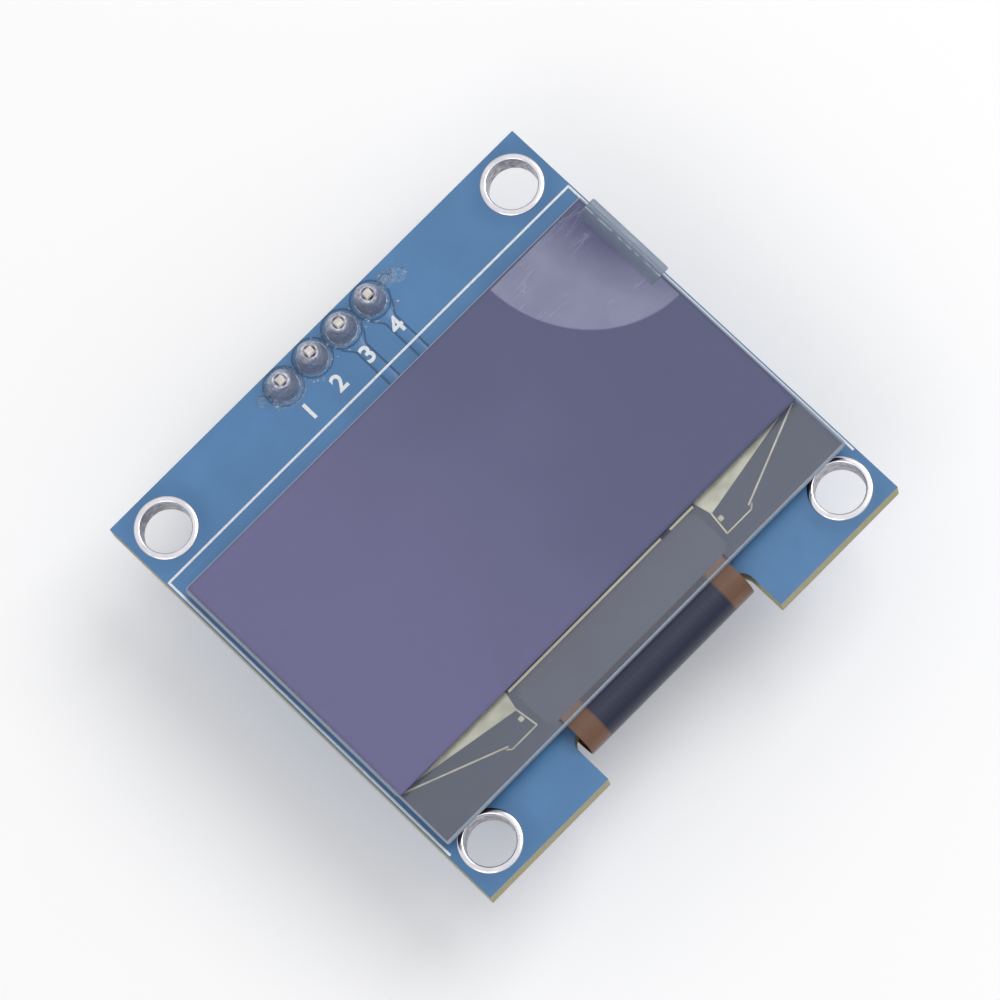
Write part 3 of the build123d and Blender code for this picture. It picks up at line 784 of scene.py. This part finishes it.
class MODULE_OT_board(bpy.types.Operator):
    """Gives the board its blue mask and the copper tracks that rise under it"""

    bl_idname = "module.board"
    bl_label = "Circuit board"

    def execute(self, context):
        sizes = context.scene.module_sizes
        colours = context.scene.module_colours
        mask = solder_mask_finish("blue_solder_mask", colours)
        dress("circuit_board", mask, bevel=0.03 * MM)

        # Two tracks come from under the glass and widen to their pins
        neck_drop, land_drop, under_glass = 1.9 * MM, 0.6 * MM, 0.6 * MM
        front = BOARD_HIGH.z, sizes.track_height
        tracks = []
        for number in PIN_NUMBERS[2:]:
            pin = middle(f"header_pin_{number}")
            foot, neck, land = (
                (pin.x, y) for y in (GLASS_HIGH.y - under_glass, pin.y - neck_drop, pin.y - land_drop)
            )
            tracks.append(strip("track", foot, neck, sizes.track_width, *front))
            tracks.append(strip("flare", neck, land, sizes.track_width, *front, sizes.track_flare))
        finish_piece(join_pieces("front_tracks", tracks), mask, smooth=CREASE)

        # On the rear, a short track leads from each soldered finger to its via, every other one longer
        pitch = (FINGER_HIGH.x - FINGER_LOW.x - FINGER_WIDTH) / (FINGER_COUNT - 1)
        overlap, short, longer, width = 0.1 * MM, 1.2 * MM, 1.9 * MM, 0.2 * MM
        foot = FINGER_HIGH.y - overlap
        # A via's section: radius, and rise above the board's rear face, in millimetres
        via_section = ((0.06, 0.01), (0.3, 0.01), (0.3, -0.02), (0.24, -0.04), (0.13, -0.04), (0.06, -0.01))
        via_profile = [(radius * MM, BOARD_LOW.z + rise * MM) for radius, rise in via_section]
        behind = BOARD_LOW.z, -sizes.track_height
        rear = []
        for shift, run in ((0, short), (1, longer)):
            x = FINGER_LOW.x + FINGER_WIDTH / 2 + shift * pitch
            track = strip("finger_track", (x, foot), (x, foot + run), width, *behind)
            via = turned("via", x, foot + run, via_profile, 16)
            for part in (track, via):
                shape_with(
                    part, "ARRAY", count=FINGER_COUNT // 2, use_relative_offset=False,
                    use_constant_offset=True, constant_offset_displace=(2 * pitch, 0, 0),
                )
                rear.append(part)

        # Wider ones lead from the header to the parts, each in its gap of the copper
        pins = [middle(f"header_pin_{number}").xy for number in PIN_NUMBERS]
        for pin in pins:
            pin.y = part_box("header_body")[0].y
        resistor_ends = [terminals("resistor", number, 0) for number in PART_NUMBERS]
        left, right = ([ends[place][1] for ends in resistor_ends] for place in (0, 1))
        upper = [terminals("capacitor", number, 1)[1][1] for number in PART_NUMBERS]
        leg_low, leg_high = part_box("regulator_legs")
        leg_middle = middle("regulator_legs").x
        half_leg = 0.15 * MM
        leg_right = leg_high.x - half_leg
        lead_low, lead_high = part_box("diode_leads")
        lead_y = (lead_low.y + lead_high.y) / 2
        bend = 0.9 * MM
        far_x = lead_high.x + 2 * bend
        runs = [
            [pins[1], (pins[1].x, pins[1].y - bend),
             (leg_right, pins[1].y - bend), (leg_right, leg_high.y)],
            [(leg_middle, leg_low.y), (leg_middle, left[0].y + 3 * bend),
             (left[0].x, left[0].y + bend), left[0]],
            [pins[2], (pins[2].x, right[2].y + 2 * bend), (right[2].x, right[2].y + bend), right[2]],
            [pins[3], (pins[3].x, right[3].y + bend), right[3]],
            [(lead_low.x, lead_y), (left[4].x + bend, lead_y), (left[4].x, lead_y - bend), left[4]],
            [(lead_high.x, lead_y), (far_x - bend, lead_y), (far_x, lead_y - bend),
             (far_x, upper[4].y + 3 * bend), (far_x - 3 * bend, upper[4].y), upper[4]],
        ]
        for end, top in zip((right[0], left[1], left[2], left[3]), upper):
            runs.append([end, (end.x, end.y - bend), (top.x, top.y + 0.6 * bend), top])
        gaps = []
        for points in runs:
            rear += route(points, sizes.rear_track, *behind)
            gaps += route(points, sizes.rear_track * 2, BOARD_LOW.z, -sizes.track_height / 5)
        finish_piece(join_pieces("rear_tracks", rear), mask, smooth=CREASE)
        bare = moulded_finish("mask_on_bare_laminate", colours.gap, 0.25, 0.3)
        finish_piece(join_pieces("rear_gaps", gaps), bare)
        return {"FINISHED"}


class MODULE_OT_mounting_rings(bpy.types.Operator):
    """Turns the tinned rings of the mounting holes, with the rounded lips that molten tin leaves"""

    bl_idname = "module.mounting_rings"
    bl_label = "Mounting rings"

    def execute(self, context):
        colours = context.scene.module_colours
        tin = metal_finish("bright_tin", colours.tin, linear("#d6d5dd"), 0.8, 0.16, 0.01)
        # Painted shade: the walls of the hole get a darker, rougher copy of the tin
        shaded_barrel = metal_finish("barrel_tin_painted_shade", linear("#bcbac0"), linear("#8b888f"), 0.3, 0.35, 0.03)
        ring_width, bead, round_in, slope_out = 0.45 * MM, 0.05 * MM, 0.14 * MM, 0.28 * MM
        # Drops at the two edges, in shares of the plating's thickness
        bore_drop, land_drop = 1.8, 0.96
        turns = [math.radians(15 * step) for step in range(7)]
        for number in RING_NUMBERS:
            low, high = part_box(f"mounting_ring_{number}")
            centre = (low + high) / 2
            land = (high.x - low.x) / 2
            bore = land - ring_width
            plating = high.z - BOARD_HIGH.z
            # Radius, and drop below the crest: over the bore's edge, then down to the land's edge
            lip = [
                (bore + round_in * (1 - math.cos(turn)), plating * bore_drop * (1 - math.sin(turn)))
                for turn in turns
            ] + [
                (land - slope_out * (1 - math.sin(turn)), plating * land_drop * (1 - math.cos(turn)))
                for turn in turns
            ]
            front = [(radius, high.z + bead - drop * (plating + bead) / plating) for radius, drop in lip]
            rear = [(radius, low.z + drop) for radius, drop in reversed(lip)]
            wall = [
                (land, BOARD_HIGH.z), (bore + plating, BOARD_HIGH.z), (bore + plating, BOARD_LOW.z),
                (land, BOARD_LOW.z),
            ]
            ring = turned(f"tinned_ring_{number}", centre.x, centre.y, front + wall + rear, 96)
            finish_piece(ring, tin, smooth=50)
            # The walls take the darker tin, painted shade inside the hole
            add_finish(ring, shaded_barrel, lambda face: abs(face.normal.z) < 0.2)
            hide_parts(f"mounting_ring_{number}")
        return {"FINISHED"}


class MODULE_OT_header(bpy.types.Operator):
    """Finishes the header strip and its pins"""

    bl_idname = "module.header"
    bl_label = "Pin header"

    def execute(self, context):
        colours = context.scene.module_colours
        nylon = moulded_finish("black_nylon", linear("#17171a"), 0.08, 0.5)
        dress("header_body", nylon, bevel=0.05 * MM)
        pin_metal = metal_finish("tinned_brass", colours.pin, linear("#c2b9b4"), 0.5, 0.22, 0.01)
        for number in PIN_NUMBERS:
            dress(f"header_pin_{number}", pin_metal, bevel=0.03 * MM)
        return {"FINISHED"}


class MODULE_OT_solder(bpy.types.Operator):
    """Builds the uneven solder around the pins and finishes the flex's soldered fingers"""

    bl_idname = "module.solder"
    bl_label = "Solder"

    def execute(self, context):
        colours = context.scene.module_colours
        solder = metal_finish("dull_solder", colours.solder, linear("#9da2b1"), 0.25, 0.6, 0.12)
        ripple = bpy.data.textures.new("solder_ripple", "CLOUDS")
        ripple.noise_scale = 0.55 * MM
        ripple.noise_depth = 2
        draw = random.Random(3)
        neck, hole, inside_pin = 0.47 * MM, 0.5 * MM, 0.3 * MM
        below_pin_end, ring_depth, sag = 0.06 * MM, 0.02 * MM, 0.25 * MM
        steps, ring_turn, slope_power = 20, 1.6, 0.45
        for number in PIN_NUMBERS:
            low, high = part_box(f"solder_joint_{number}")
            centre = (low + high) / 2
            base = (high.x - low.x) / 2
            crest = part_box(f"header_pin_{number}")[1].z - below_pin_end
            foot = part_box(f"pin_land_{number}")[1].z
            slope = []
            for step in range(steps + 1):
                rise = math.sin(math.radians(90 * step / steps))
                # Faint rings, as the joint froze in stages
                ridge = ring_depth * math.sin(step * ring_turn) * (1 - rise)
                radius = neck + (base - neck) * (1 - rise) ** slope_power + ridge
                slope.append((radius, foot + (crest - foot) * rise))
            profile = [(inside_pin, low.z), (hole, low.z), (hole, foot)] + slope + [(inside_pin, crest)]
            lump = turned(f"solder_lump_{number}", centre.x, centre.y, profile, 48)
            # Each joint sags its own way, more towards the panel
            bpy.ops.object.mode_set(mode="EDIT")
            pick(lump, "VERT", lambda v: v.co.z > foot)
            bpy.ops.transform.resize(
                value=(draw.uniform(0.92, 1.0), draw.uniform(0.94, 1.06), 1),
                center_override=(centre.x, centre.y + sag, foot),
            )
            shape_with(
                lump, "DISPLACE", texture=ripple, strength=0.22 * MM, mid_level=0.55, texture_coords="LOCAL"
            )
            shape_with(lump, "SUBSURF", levels=1, render_levels=1)
            finish_piece(lump, solder, smooth=60)
            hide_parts(f"solder_joint_{number}")
            dress(f"pin_land_{number}", solder)
        dress("flex_solder", metal_finish("finger_solder", colours.tin, linear("#8a8d98"), 0.4, 0.3, 0.03))
        return {"FINISHED"}


class MODULE_OT_flux(bpy.types.Operator):
    """Spreads the dried flux that hand soldering leaves round the pins, in thin pools and small drops"""

    bl_idname = "module.flux"
    bl_label = "Flux"

    def execute(self, context):
        sizes = context.scene.module_sizes
        draw = random.Random(7)
        first = middle("header_pin_1")
        last = middle("header_pin_4")
        ceiling = BOARD_HIGH.y - 0.25 * MM
        drops_each = 9
        # Each spot has its place, its radius and its height as a share of the radius.
        # Thin pools lie round the pins, and smears past the two ends of the row
        pools = [
            (first.x - 1.6 * MM, first.y + 0.25 * MM, 3.2 * sizes.flux_drop, 0.3),
            (last.x + 1.6 * MM, last.y + 0.3 * MM, 5.0 * sizes.flux_drop, 0.16),
            (last.x + 2.35 * MM, last.y + 0.05 * MM, 4.4 * sizes.flux_drop, 0.2),
        ]
        drops = []
        for number in PIN_NUMBERS:
            pin = middle(f"header_pin_{number}")
            pools.append((pin.x, pin.y - 0.1 * MM, sizes.flux_pool * draw.uniform(0.92, 1.0), 0.05))
            for _ in range(drops_each):
                turn = draw.uniform(-math.pi, 0.3 * math.pi)
                away = draw.uniform(1.2, 1.75) * MM
                x, y = pin.x + away * math.cos(turn), pin.y + away * math.sin(turn)
                drops.append((x, min(y, ceiling), sizes.flux_drop * draw.uniform(0.35, 0.8), 0.5))
        ripple = bpy.data.textures.new("flux_ripple", "CLOUDS")
        ripple.noise_scale = 0.35 * MM
        deepest = 0.06 * MM
        finishes = {
            "flux_pools": (pools, flux_finish("thin_dried_flux", linear("#9aaabc"), 0.42)),
            # The small beads are pale and nearly opaque: dried flux with painted glints of the light on it
            "flux_drops": (drops, flux_finish("beaded_flux_painted_glints", linear("#ced8e0"), 0.8)),
        }
        for name, (spots, finish) in finishes.items():
            beads = []
            for x, y, radius, height in spots:
                deselect()
                bpy.ops.mesh.primitive_ico_sphere_add(
                    subdivisions=4, radius=radius, location=(x, y, BOARD_HIGH.z)
                )
                bpy.context.object.scale = (draw.uniform(0.85, 1.15), draw.uniform(0.85, 1.1), height)
                bead = start_piece("bead")
                bpy.ops.mesh.bisect(
                    plane_co=(x, y, BOARD_HIGH.z + 0.002 * MM), plane_no=(0, 0, 1),
                    clear_inner=True, use_fill=True,
                )
                shape_with(
                    bead, "DISPLACE", texture=ripple, strength=min(radius * 0.4, deepest),
                    texture_coords="LOCAL",
                )
                beads.append(bead)
            flux = finish_piece(join_pieces(name, beads), finish, smooth=60)
            # The board under the thin flux is lit as if it were bare
            flux.visible_shadow = False
            flux.visible_diffuse = False
        return {"FINISHED"}


class MODULE_OT_print(bpy.types.Operator):
    """Prints the white outline round the panel, the lines beside the rear parts and the pin numbers"""

    bl_idname = "module.print"
    bl_label = "Board print"

    def execute(self, context):
        sizes = context.scene.module_sizes
        ink = print_finish("white_ink", context.scene.module_colours)
        side, top, foot = sizes.silk_side, sizes.silk_top, GLASS_LOW.y - 0.2 * MM
        corners = [(-side, foot), (-side, top), (side, top), (side, foot)]
        lines = route(corners, sizes.silk_width, BOARD_HIGH.z, sizes.silk_height)
        finish_piece(join_pieces("panel_outline", lines), ink, smooth=CREASE)

        # On the rear, a line along both sides of each part and round three sides of the header
        margin, past_terminal = 0.3 * MM, 0.4 * MM
        rear_line = 0.15 * MM, BOARD_LOW.z, -sizes.silk_height
        parts = [
            (f"{kind}_{number}", axis, past_terminal)
            for kind, axis in (("capacitor", 1), ("resistor", 0)) for number in PART_NUMBERS
        ]
        rear = []
        for node, axis, past in parts + [("regulator_body", 1, 0), ("diode_body", 0, 0)]:
            low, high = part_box(node)
            for beside in (low[1 - axis] - margin, high[1 - axis] + margin):
                ends = [Vector((beside, beside)), Vector((beside, beside))]
                ends[0][axis], ends[1][axis] = low[axis] - past, high[axis] + past
                rear.append(strip("line", *ends, *rear_line))
        low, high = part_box("header_body")
        corners = [(low.x - margin, high.y - margin), (low.x - margin, low.y - margin),
                   (high.x + margin, low.y - margin), (high.x + margin, high.y - margin)]
        rear += route(corners, *rear_line)
        finish_piece(join_pieces("rear_print", rear), ink, smooth=CREASE)

        digit_share, stroke = 0.7, 0.04 * MM
        numbers = []
        for number in PIN_NUMBERS:
            deselect()
            pin_x = middle(f"header_pin_{number}").x
            bpy.ops.object.text_add(location=(pin_x, sizes.number_level, BOARD_HIGH.z))
            text = bpy.context.object
            text.data.body = str(number)
            text.data.align_x = "CENTER"
            text.data.size = sizes.number_height / digit_share
            text.data.offset = stroke
            text.data.extrude = sizes.silk_height / 2
            bpy.ops.object.convert(target="MESH")
            digit = start_piece("digit")
            bpy.ops.mesh.remove_doubles(threshold=MM / 1000)
            bpy.ops.transform.translate(value=(0, 0, sizes.silk_height / 2))
            bpy.ops.object.mode_set(mode="OBJECT")
            numbers.append(digit)
        finish_piece(join_pieces("pin_numbers", numbers), ink)
        return {"FINISHED"}


class MODULE_OT_panel(bpy.types.Operator):
    """Builds the glass, the screen and the film that still covers it"""

    bl_idname = "module.panel"
    bl_label = "Display panel"

    def execute(self, context):
        sizes = context.scene.module_sizes
        colours = context.scene.module_colours
        skin, ground_edge, tab_corner, tab_thickness = 0.004 * MM, 0.1 * MM, 0.35 * MM, 0.075 * MM

        deselect()
        ledge_room = Vector((0, 0, LEDGE_ROOM))
        bpy.ops.mesh.primitive_cube_add(size=1, location=(GLASS_LOW + GLASS_HIGH + ledge_room) / 2)
        bpy.context.object.scale = GLASS_HIGH - GLASS_LOW - ledge_room
        glass = start_piece("display_glass")
        pick(glass, "EDGE", lambda edge: True)
        bpy.ops.mesh.bevel(offset=ground_edge, segments=1)
        finish_piece(glass, display_glass_finish("display_glass"))
        add_finish(glass, cut_glass_finish("cut_glass_edge"), lambda face: abs(face.normal.z) < 0.95)
        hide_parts("front_glass")
        # Lamps and the sky reach what lies under the clear glass
        glass.visible_shadow = False
        glass.visible_diffuse = False

        dress("cap_glass", moulded_finish("cap_glass_and_cathode", linear("#8e97b0"), 1.0, 0.6))
        dress("panel_tape", moulded_finish("foam_tape", linear("#dcdad2"), 0.12, 0.8))
        dress("polarizer", polarizer_finish("dark_polarizer", colours), bevel=0.03 * MM)

        # The film lies on the polarizer and lifts towards its upper right corner, the tab's end
        corner = FILM_HIGH.xy
        film = sheet("screen_film", FILM_LOW, FILM_HIGH, FILM_LOW.z + skin, cuts=(72, 40))
        bpy.ops.object.mode_set(mode="OBJECT")
        lift_corner(film, corner, sizes.film_lift_reach, sizes.film_lift)
        shape_with(film, "SOLIDIFY", thickness=FILM_HIGH.z - FILM_LOW.z - skin, offset=1)
        finish_piece(film, clear_film_finish("clear_film", colours, sizes), smooth=CREASE)
        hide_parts("protective_film")
        # The screen under the clear film is lit as if it were bare
        film.visible_shadow = False

        # The tab lies on the film, and its two outer corners are rounded
        tab = sheet("film_tab", TAB_LOW, TAB_HIGH, FILM_HIGH.z + skin, cuts=(12, 32))
        outer_corners = [Vector((TAB_HIGH.x, y)) for y in (TAB_LOW.y, TAB_HIGH.y)]
        pick(tab, "VERT", lambda v: min((v.co.xy - place).length for place in outer_corners) < CLOSE)
        bpy.ops.mesh.bevel(offset=tab_corner, segments=5, affect="VERTICES")
        bpy.ops.object.mode_set(mode="OBJECT")
        lift_corner(tab, corner, sizes.film_lift_reach, sizes.film_lift)
        shape_with(tab, "SOLIDIFY", thickness=tab_thickness, offset=1)
        finish_piece(tab, pull_tab_finish("green_tab", colours), smooth=CREASE)
        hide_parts("pull_tab")
        return {"FINISHED"}


class MODULE_OT_ledge(bpy.types.Operator):
    """Lays the chip's cover, the contact buses and the fine lines on the back of the glass ledge"""

    bl_idname = "module.ledge"
    bl_label = "Glass ledge"

    def execute(self, context):
        sizes = context.scene.module_sizes
        colours = context.scene.module_colours
        dress("ledge_seal", moulded_finish("dark_seal", colours.seal, 1.0, 0.35))
        dress("driver_chip", moulded_finish("bare_silicon", linear("#2a2c33"), 0.5, 0.15))
        bus_metal = metal_finish("pale_bus_metal", colours.bus, linear("#a9a799"), 1.2, 0.5, 0.002)
        painted_gleam = moulded_finish("pale_line_painted_gleam", colours.crown, 0.4, 0.4)
        under_glass, depth = 0.004 * MM, -0.012 * MM
        level = GLASS_LOW.z + LEDGE_ROOM - under_glass
        low, top = BUS_LOW.y, BUS_HIGH.y
        inner, outer = BUS_LOW.x, BUS_HIGH.x

        # The dark cover over the chip, its corners rounded
        foot_margin, screen_margin = 0.45 * MM, 0.17 * MM
        cover_low = Vector((-sizes.cover_side, SEAL_FOOT + foot_margin))
        cover_high = Vector((sizes.cover_side, SCREEN_FOOT - screen_margin))
        cover = sheet("chip_cover", cover_low, cover_high, level + depth)
        bpy.ops.mesh.bevel(offset=sizes.cover_corner, segments=8, affect="VERTICES")
        thicken(depth / 2)
        finish_piece(cover, moulded_finish("dark_cover_film", colours.cover, 0.6, 0.3))

        # Fine lines below the wedge, in millimetres from its inner upper corner, and one square pad
        foot_rise = 1.2
        foot = (SEAL_FOOT - top) / MM + foot_rise
        line, thin, pad = sizes.ledge_line, sizes.ledge_line * 0.8, 0.32 * MM
        runs = (
            ((0.37, -1.4), (0.15, foot), line),
            ((8.8, -0.15), (2.3, foot + 0.3), line),
            ((0.12, foot), (2.3, foot), thin),
            ((2.25, foot), (2.55, foot + 0.25), thin),
            ((0.4, -2.1), (0.72, -2.1), pad),
        )
        taper, slant, corner_radius = 0.97, 0.35 * MM, 0.3 * MM
        for side, name in ((-1, "left"), (1, "right")):
            near, far = side * inner, side * outer
            wedge = sheet("wedge", Vector((min(near, far), low)), Vector((max(near, far), top)), level)
            pick_corner(wedge, far, low)
            bpy.ops.transform.translate(value=(0, (top - low) * taper, 0))
            # The wedge's inner end slants and follows the cover's rounded corner
            pick_corner(wedge, near, low)
            bpy.ops.transform.translate(value=(side * slant, 0, 0))
            pick_corner(wedge, near, top)
            bpy.ops.mesh.bevel(offset=corner_radius, segments=4, affect="VERTICES")
            thicken(depth)
            bpy.ops.object.mode_set(mode="OBJECT")
            parts = [wedge]
            for start, end, width in runs:
                ends = [(side * (inner + x * MM), top + y * MM) for x, y in (start, end)]
                parts.append(strip("run", *ends, width, level, depth))
            bus = finish_piece(join_pieces(f"ledge_bus_{name}", parts), bus_metal)
            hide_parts(f"contact_bus_{name}")

        # The pale line along the screen's lower edge, painted bright for its gleam, is broken in one place
        crown_y = SCREEN_FOOT - 0.04 * MM
        crowns = [
            strip("crown", (start * MM, crown_y), (end * MM, crown_y), sizes.crown_line, level, depth)
            for start, end in ((-8.0, 5.2), (6.0, 8.0))
        ]
        finish_piece(join_pieces("crown_line", crowns), painted_gleam)
        return {"FINISHED"}


class MODULE_OT_flex(bpy.types.Operator):
    """Finishes the flex that carries the panel's lines through the notch"""

    bl_idname = "module.flex"
    bl_label = "Flex cable"

    def execute(self, context):
        dress("flex_cable", flex_finish("polyimide_flex", context.scene.module_colours))
        return {"FINISHED"}


class MODULE_OT_small_parts(bpy.types.Operator):
    """Finishes the small parts on the rear and lays a solder fillet at each of their ends"""

    bl_idname = "module.small_parts"
    bl_label = "Small parts"

    def execute(self, context):
        colours = context.scene.module_colours
        epoxy = moulded_finish("black_epoxy", linear("#1c1c1f"), 0.06, 0.55)
        tin = metal_finish("part_tin", colours.tin, linear("#a5a6ad"), 0.25, 0.3, 0.02)
        ceramic = moulded_finish("tan_ceramic", linear("#a98762"), 0.15, 0.5)
        coat = moulded_finish("black_glass_coat", linear("#141417"), 0.2, 0.25)
        for node in ("regulator_body", "diode_body"):
            dress(node, epoxy, bevel=0.04 * MM)
        for node in ("regulator_legs", "diode_leads"):
            dress(node, tin)
        for node in ("capacitor_terminals", "resistor_terminals"):
            dress(node, tin, bevel=0.05 * MM)
        for number in PART_NUMBERS:
            dress(f"capacitor_{number}", ceramic, bevel=0.04 * MM)
            dress(f"resistor_{number}", coat, bevel=0.03 * MM)
        climb, spread = 0.75, 0.9
        for kind, axis in (("capacitor", 1), ("resistor", 0)):
            tall = (BOARD_LOW.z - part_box(f"{kind}_terminals")[0].z) * climb
            fillets = []
            for number in PART_NUMBERS:
                low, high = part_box(f"{kind}_{number}")
                size = high - low
                size[axis], size.z = tall * spread, tall
                for side, end, outer in terminals(kind, number, axis):
                    end[axis] = outer + side * size[axis] / 2
                    centre = Vector((*end, BOARD_LOW.z - tall / 2))
                    fillets.append(solder_fillet(centre, size, axis, side))
            finish_piece(join_pieces(f"{kind}_fillets", fillets), tin, smooth=CREASE)
        return {"FINISHED"}


class MODULE_OT_stage(bpy.types.Operator):
    """Sets the floor, the soft light and the camera"""

    bl_idname = "module.stage"
    bl_label = "Stage"

    def execute(self, context):
        settings = context.scene.module_stage
        deselect()
        bpy.ops.mesh.primitive_plane_add(size=3, location=(0, 0, CAD_BOX[0].z))
        floor = start_piece("studio_floor")
        bpy.ops.mesh.subdivide(number_cuts=4)
        bpy.ops.object.mode_set(mode="OBJECT")
        floor.data.materials.append(floor_finish("pale_floor", context.scene.module_colours))

        world = bpy.data.worlds.new("studio")
        context.scene.world = world
        world.use_nodes = True
        tree = world.node_tree
        tree.nodes.clear()
        path = add(tree, "LightPath")
        seen = add(
            tree, "Math", {0: path.outputs["Is Camera Ray"], 1: path.outputs["Is Transmission Ray"]},
            operation="MAXIMUM",
        )
        plain = add(tree, "MapRange", {"Value": seen, "To Min": settings.world_light, "To Max": 1.0})
        # Metal and gloss mirror a sky that is white above and greyer towards the horizon
        direction = add(tree, "TexCoord")
        upward = add(tree, "SeparateXYZ", {0: direction.outputs["Generated"]})
        mirrored = add(
            tree, "MapRange",
            {"Value": upward.outputs["Z"], "From Min": 0.1, "From Max": 0.8, "To Min": 0.45, "To Max": 1.0},
        )
        strength = add(tree, "Mix", {0: path.outputs["Is Glossy Ray"], 2: plain, 3: mirrored})
        sky = add(tree, "Background", {"Color": linear("#ffffff"), "Strength": strength})
        add(tree, "OutputWorld", {"Surface": sky})

        for name, place, size, power in (
            ("key_light", (0.3, -0.02, 0.45), 0.35, settings.key_power),
            ("fill_light", (-0.3, -0.15, 0.4), 0.3, settings.fill_power),
        ):
            deselect()
            bpy.ops.object.light_add(type="AREA", location=place)
            lamp = context.object
            lamp.name = name
            lamp.data.shape = "DISK"
            lamp.data.size = size
            lamp.data.energy = power
            lamp.rotation_euler = (-Vector(place)).to_track_quat("-Z", "Y").to_euler()

        turn, rise, roll = settings.azimuth, settings.elevation, settings.roll
        back = Vector((math.sin(turn) * math.cos(rise), -math.cos(turn) * math.cos(rise), math.sin(rise)))
        right = Vector((math.cos(turn), math.sin(turn), 0))
        up = back.cross(right)
        right, up = (
            math.cos(roll) * right + math.sin(roll) * up,
            -math.sin(roll) * right + math.cos(roll) * up,
        )
        aim = Vector((0, 0, BOARD_HIGH.z)) + right * settings.aim_right + up * settings.aim_up
        deselect()
        bpy.ops.object.camera_add(location=aim + back * settings.distance)
        camera = context.object
        camera.name = "camera"
        camera.rotation_euler = Matrix((right, up, back)).transposed().to_euler()
        camera.data.lens = settings.lens
        camera.data.sensor_width = 36
        context.scene.camera = camera
        context.scene.view_settings.view_transform = "Standard"
        return {"FINISHED"}


PIECES = (
    MODULE_OT_board,
    MODULE_OT_mounting_rings,
    MODULE_OT_header,
    MODULE_OT_solder,
    MODULE_OT_flux,
    MODULE_OT_print,
    MODULE_OT_panel,
    MODULE_OT_ledge,
    MODULE_OT_flex,
    MODULE_OT_small_parts,
    MODULE_OT_stage,
)


class MODULE_PT_sidebar(bpy.types.Panel):
    """Lists the pieces and their settings"""

    bl_idname = "MODULE_PT_sidebar"
    bl_label = "Display module"
    bl_space_type = "VIEW_3D"
    bl_region_type = "UI"
    bl_category = "Display module"

    def draw(self, context):
        for piece in PIECES:
            self.layout.operator(piece.bl_idname)
        for name, group in SETTINGS.items():
            for key in group.__annotations__:
                self.layout.prop(getattr(context.scene, name), key)


SETTINGS = {"module_sizes": ModuleSizes, "module_colours": ModuleColours, "module_stage": StageSettings}
CLASSES = (*SETTINGS.values(), *PIECES, MODULE_PT_sidebar)


def register():
    for item in CLASSES:
        bpy.utils.register_class(item)
    for name, group in SETTINGS.items():
        setattr(bpy.types.Scene, name, bpy.props.PointerProperty(type=group))


def unregister():
    for name in SETTINGS:
        delattr(bpy.types.Scene, name)
    for item in reversed(CLASSES):
        bpy.utils.unregister_class(item)


def main():
    register()
    bpy.ops.module.board()
    bpy.ops.module.mounting_rings()
    bpy.ops.module.header()
    bpy.ops.module.solder()
    bpy.ops.module.flux()
    bpy.ops.module.print()
    bpy.ops.module.panel()
    bpy.ops.module.ledge()
    bpy.ops.module.flex()
    bpy.ops.module.small_parts()
    bpy.ops.module.stage()


if __name__ == "__main__":
    main()
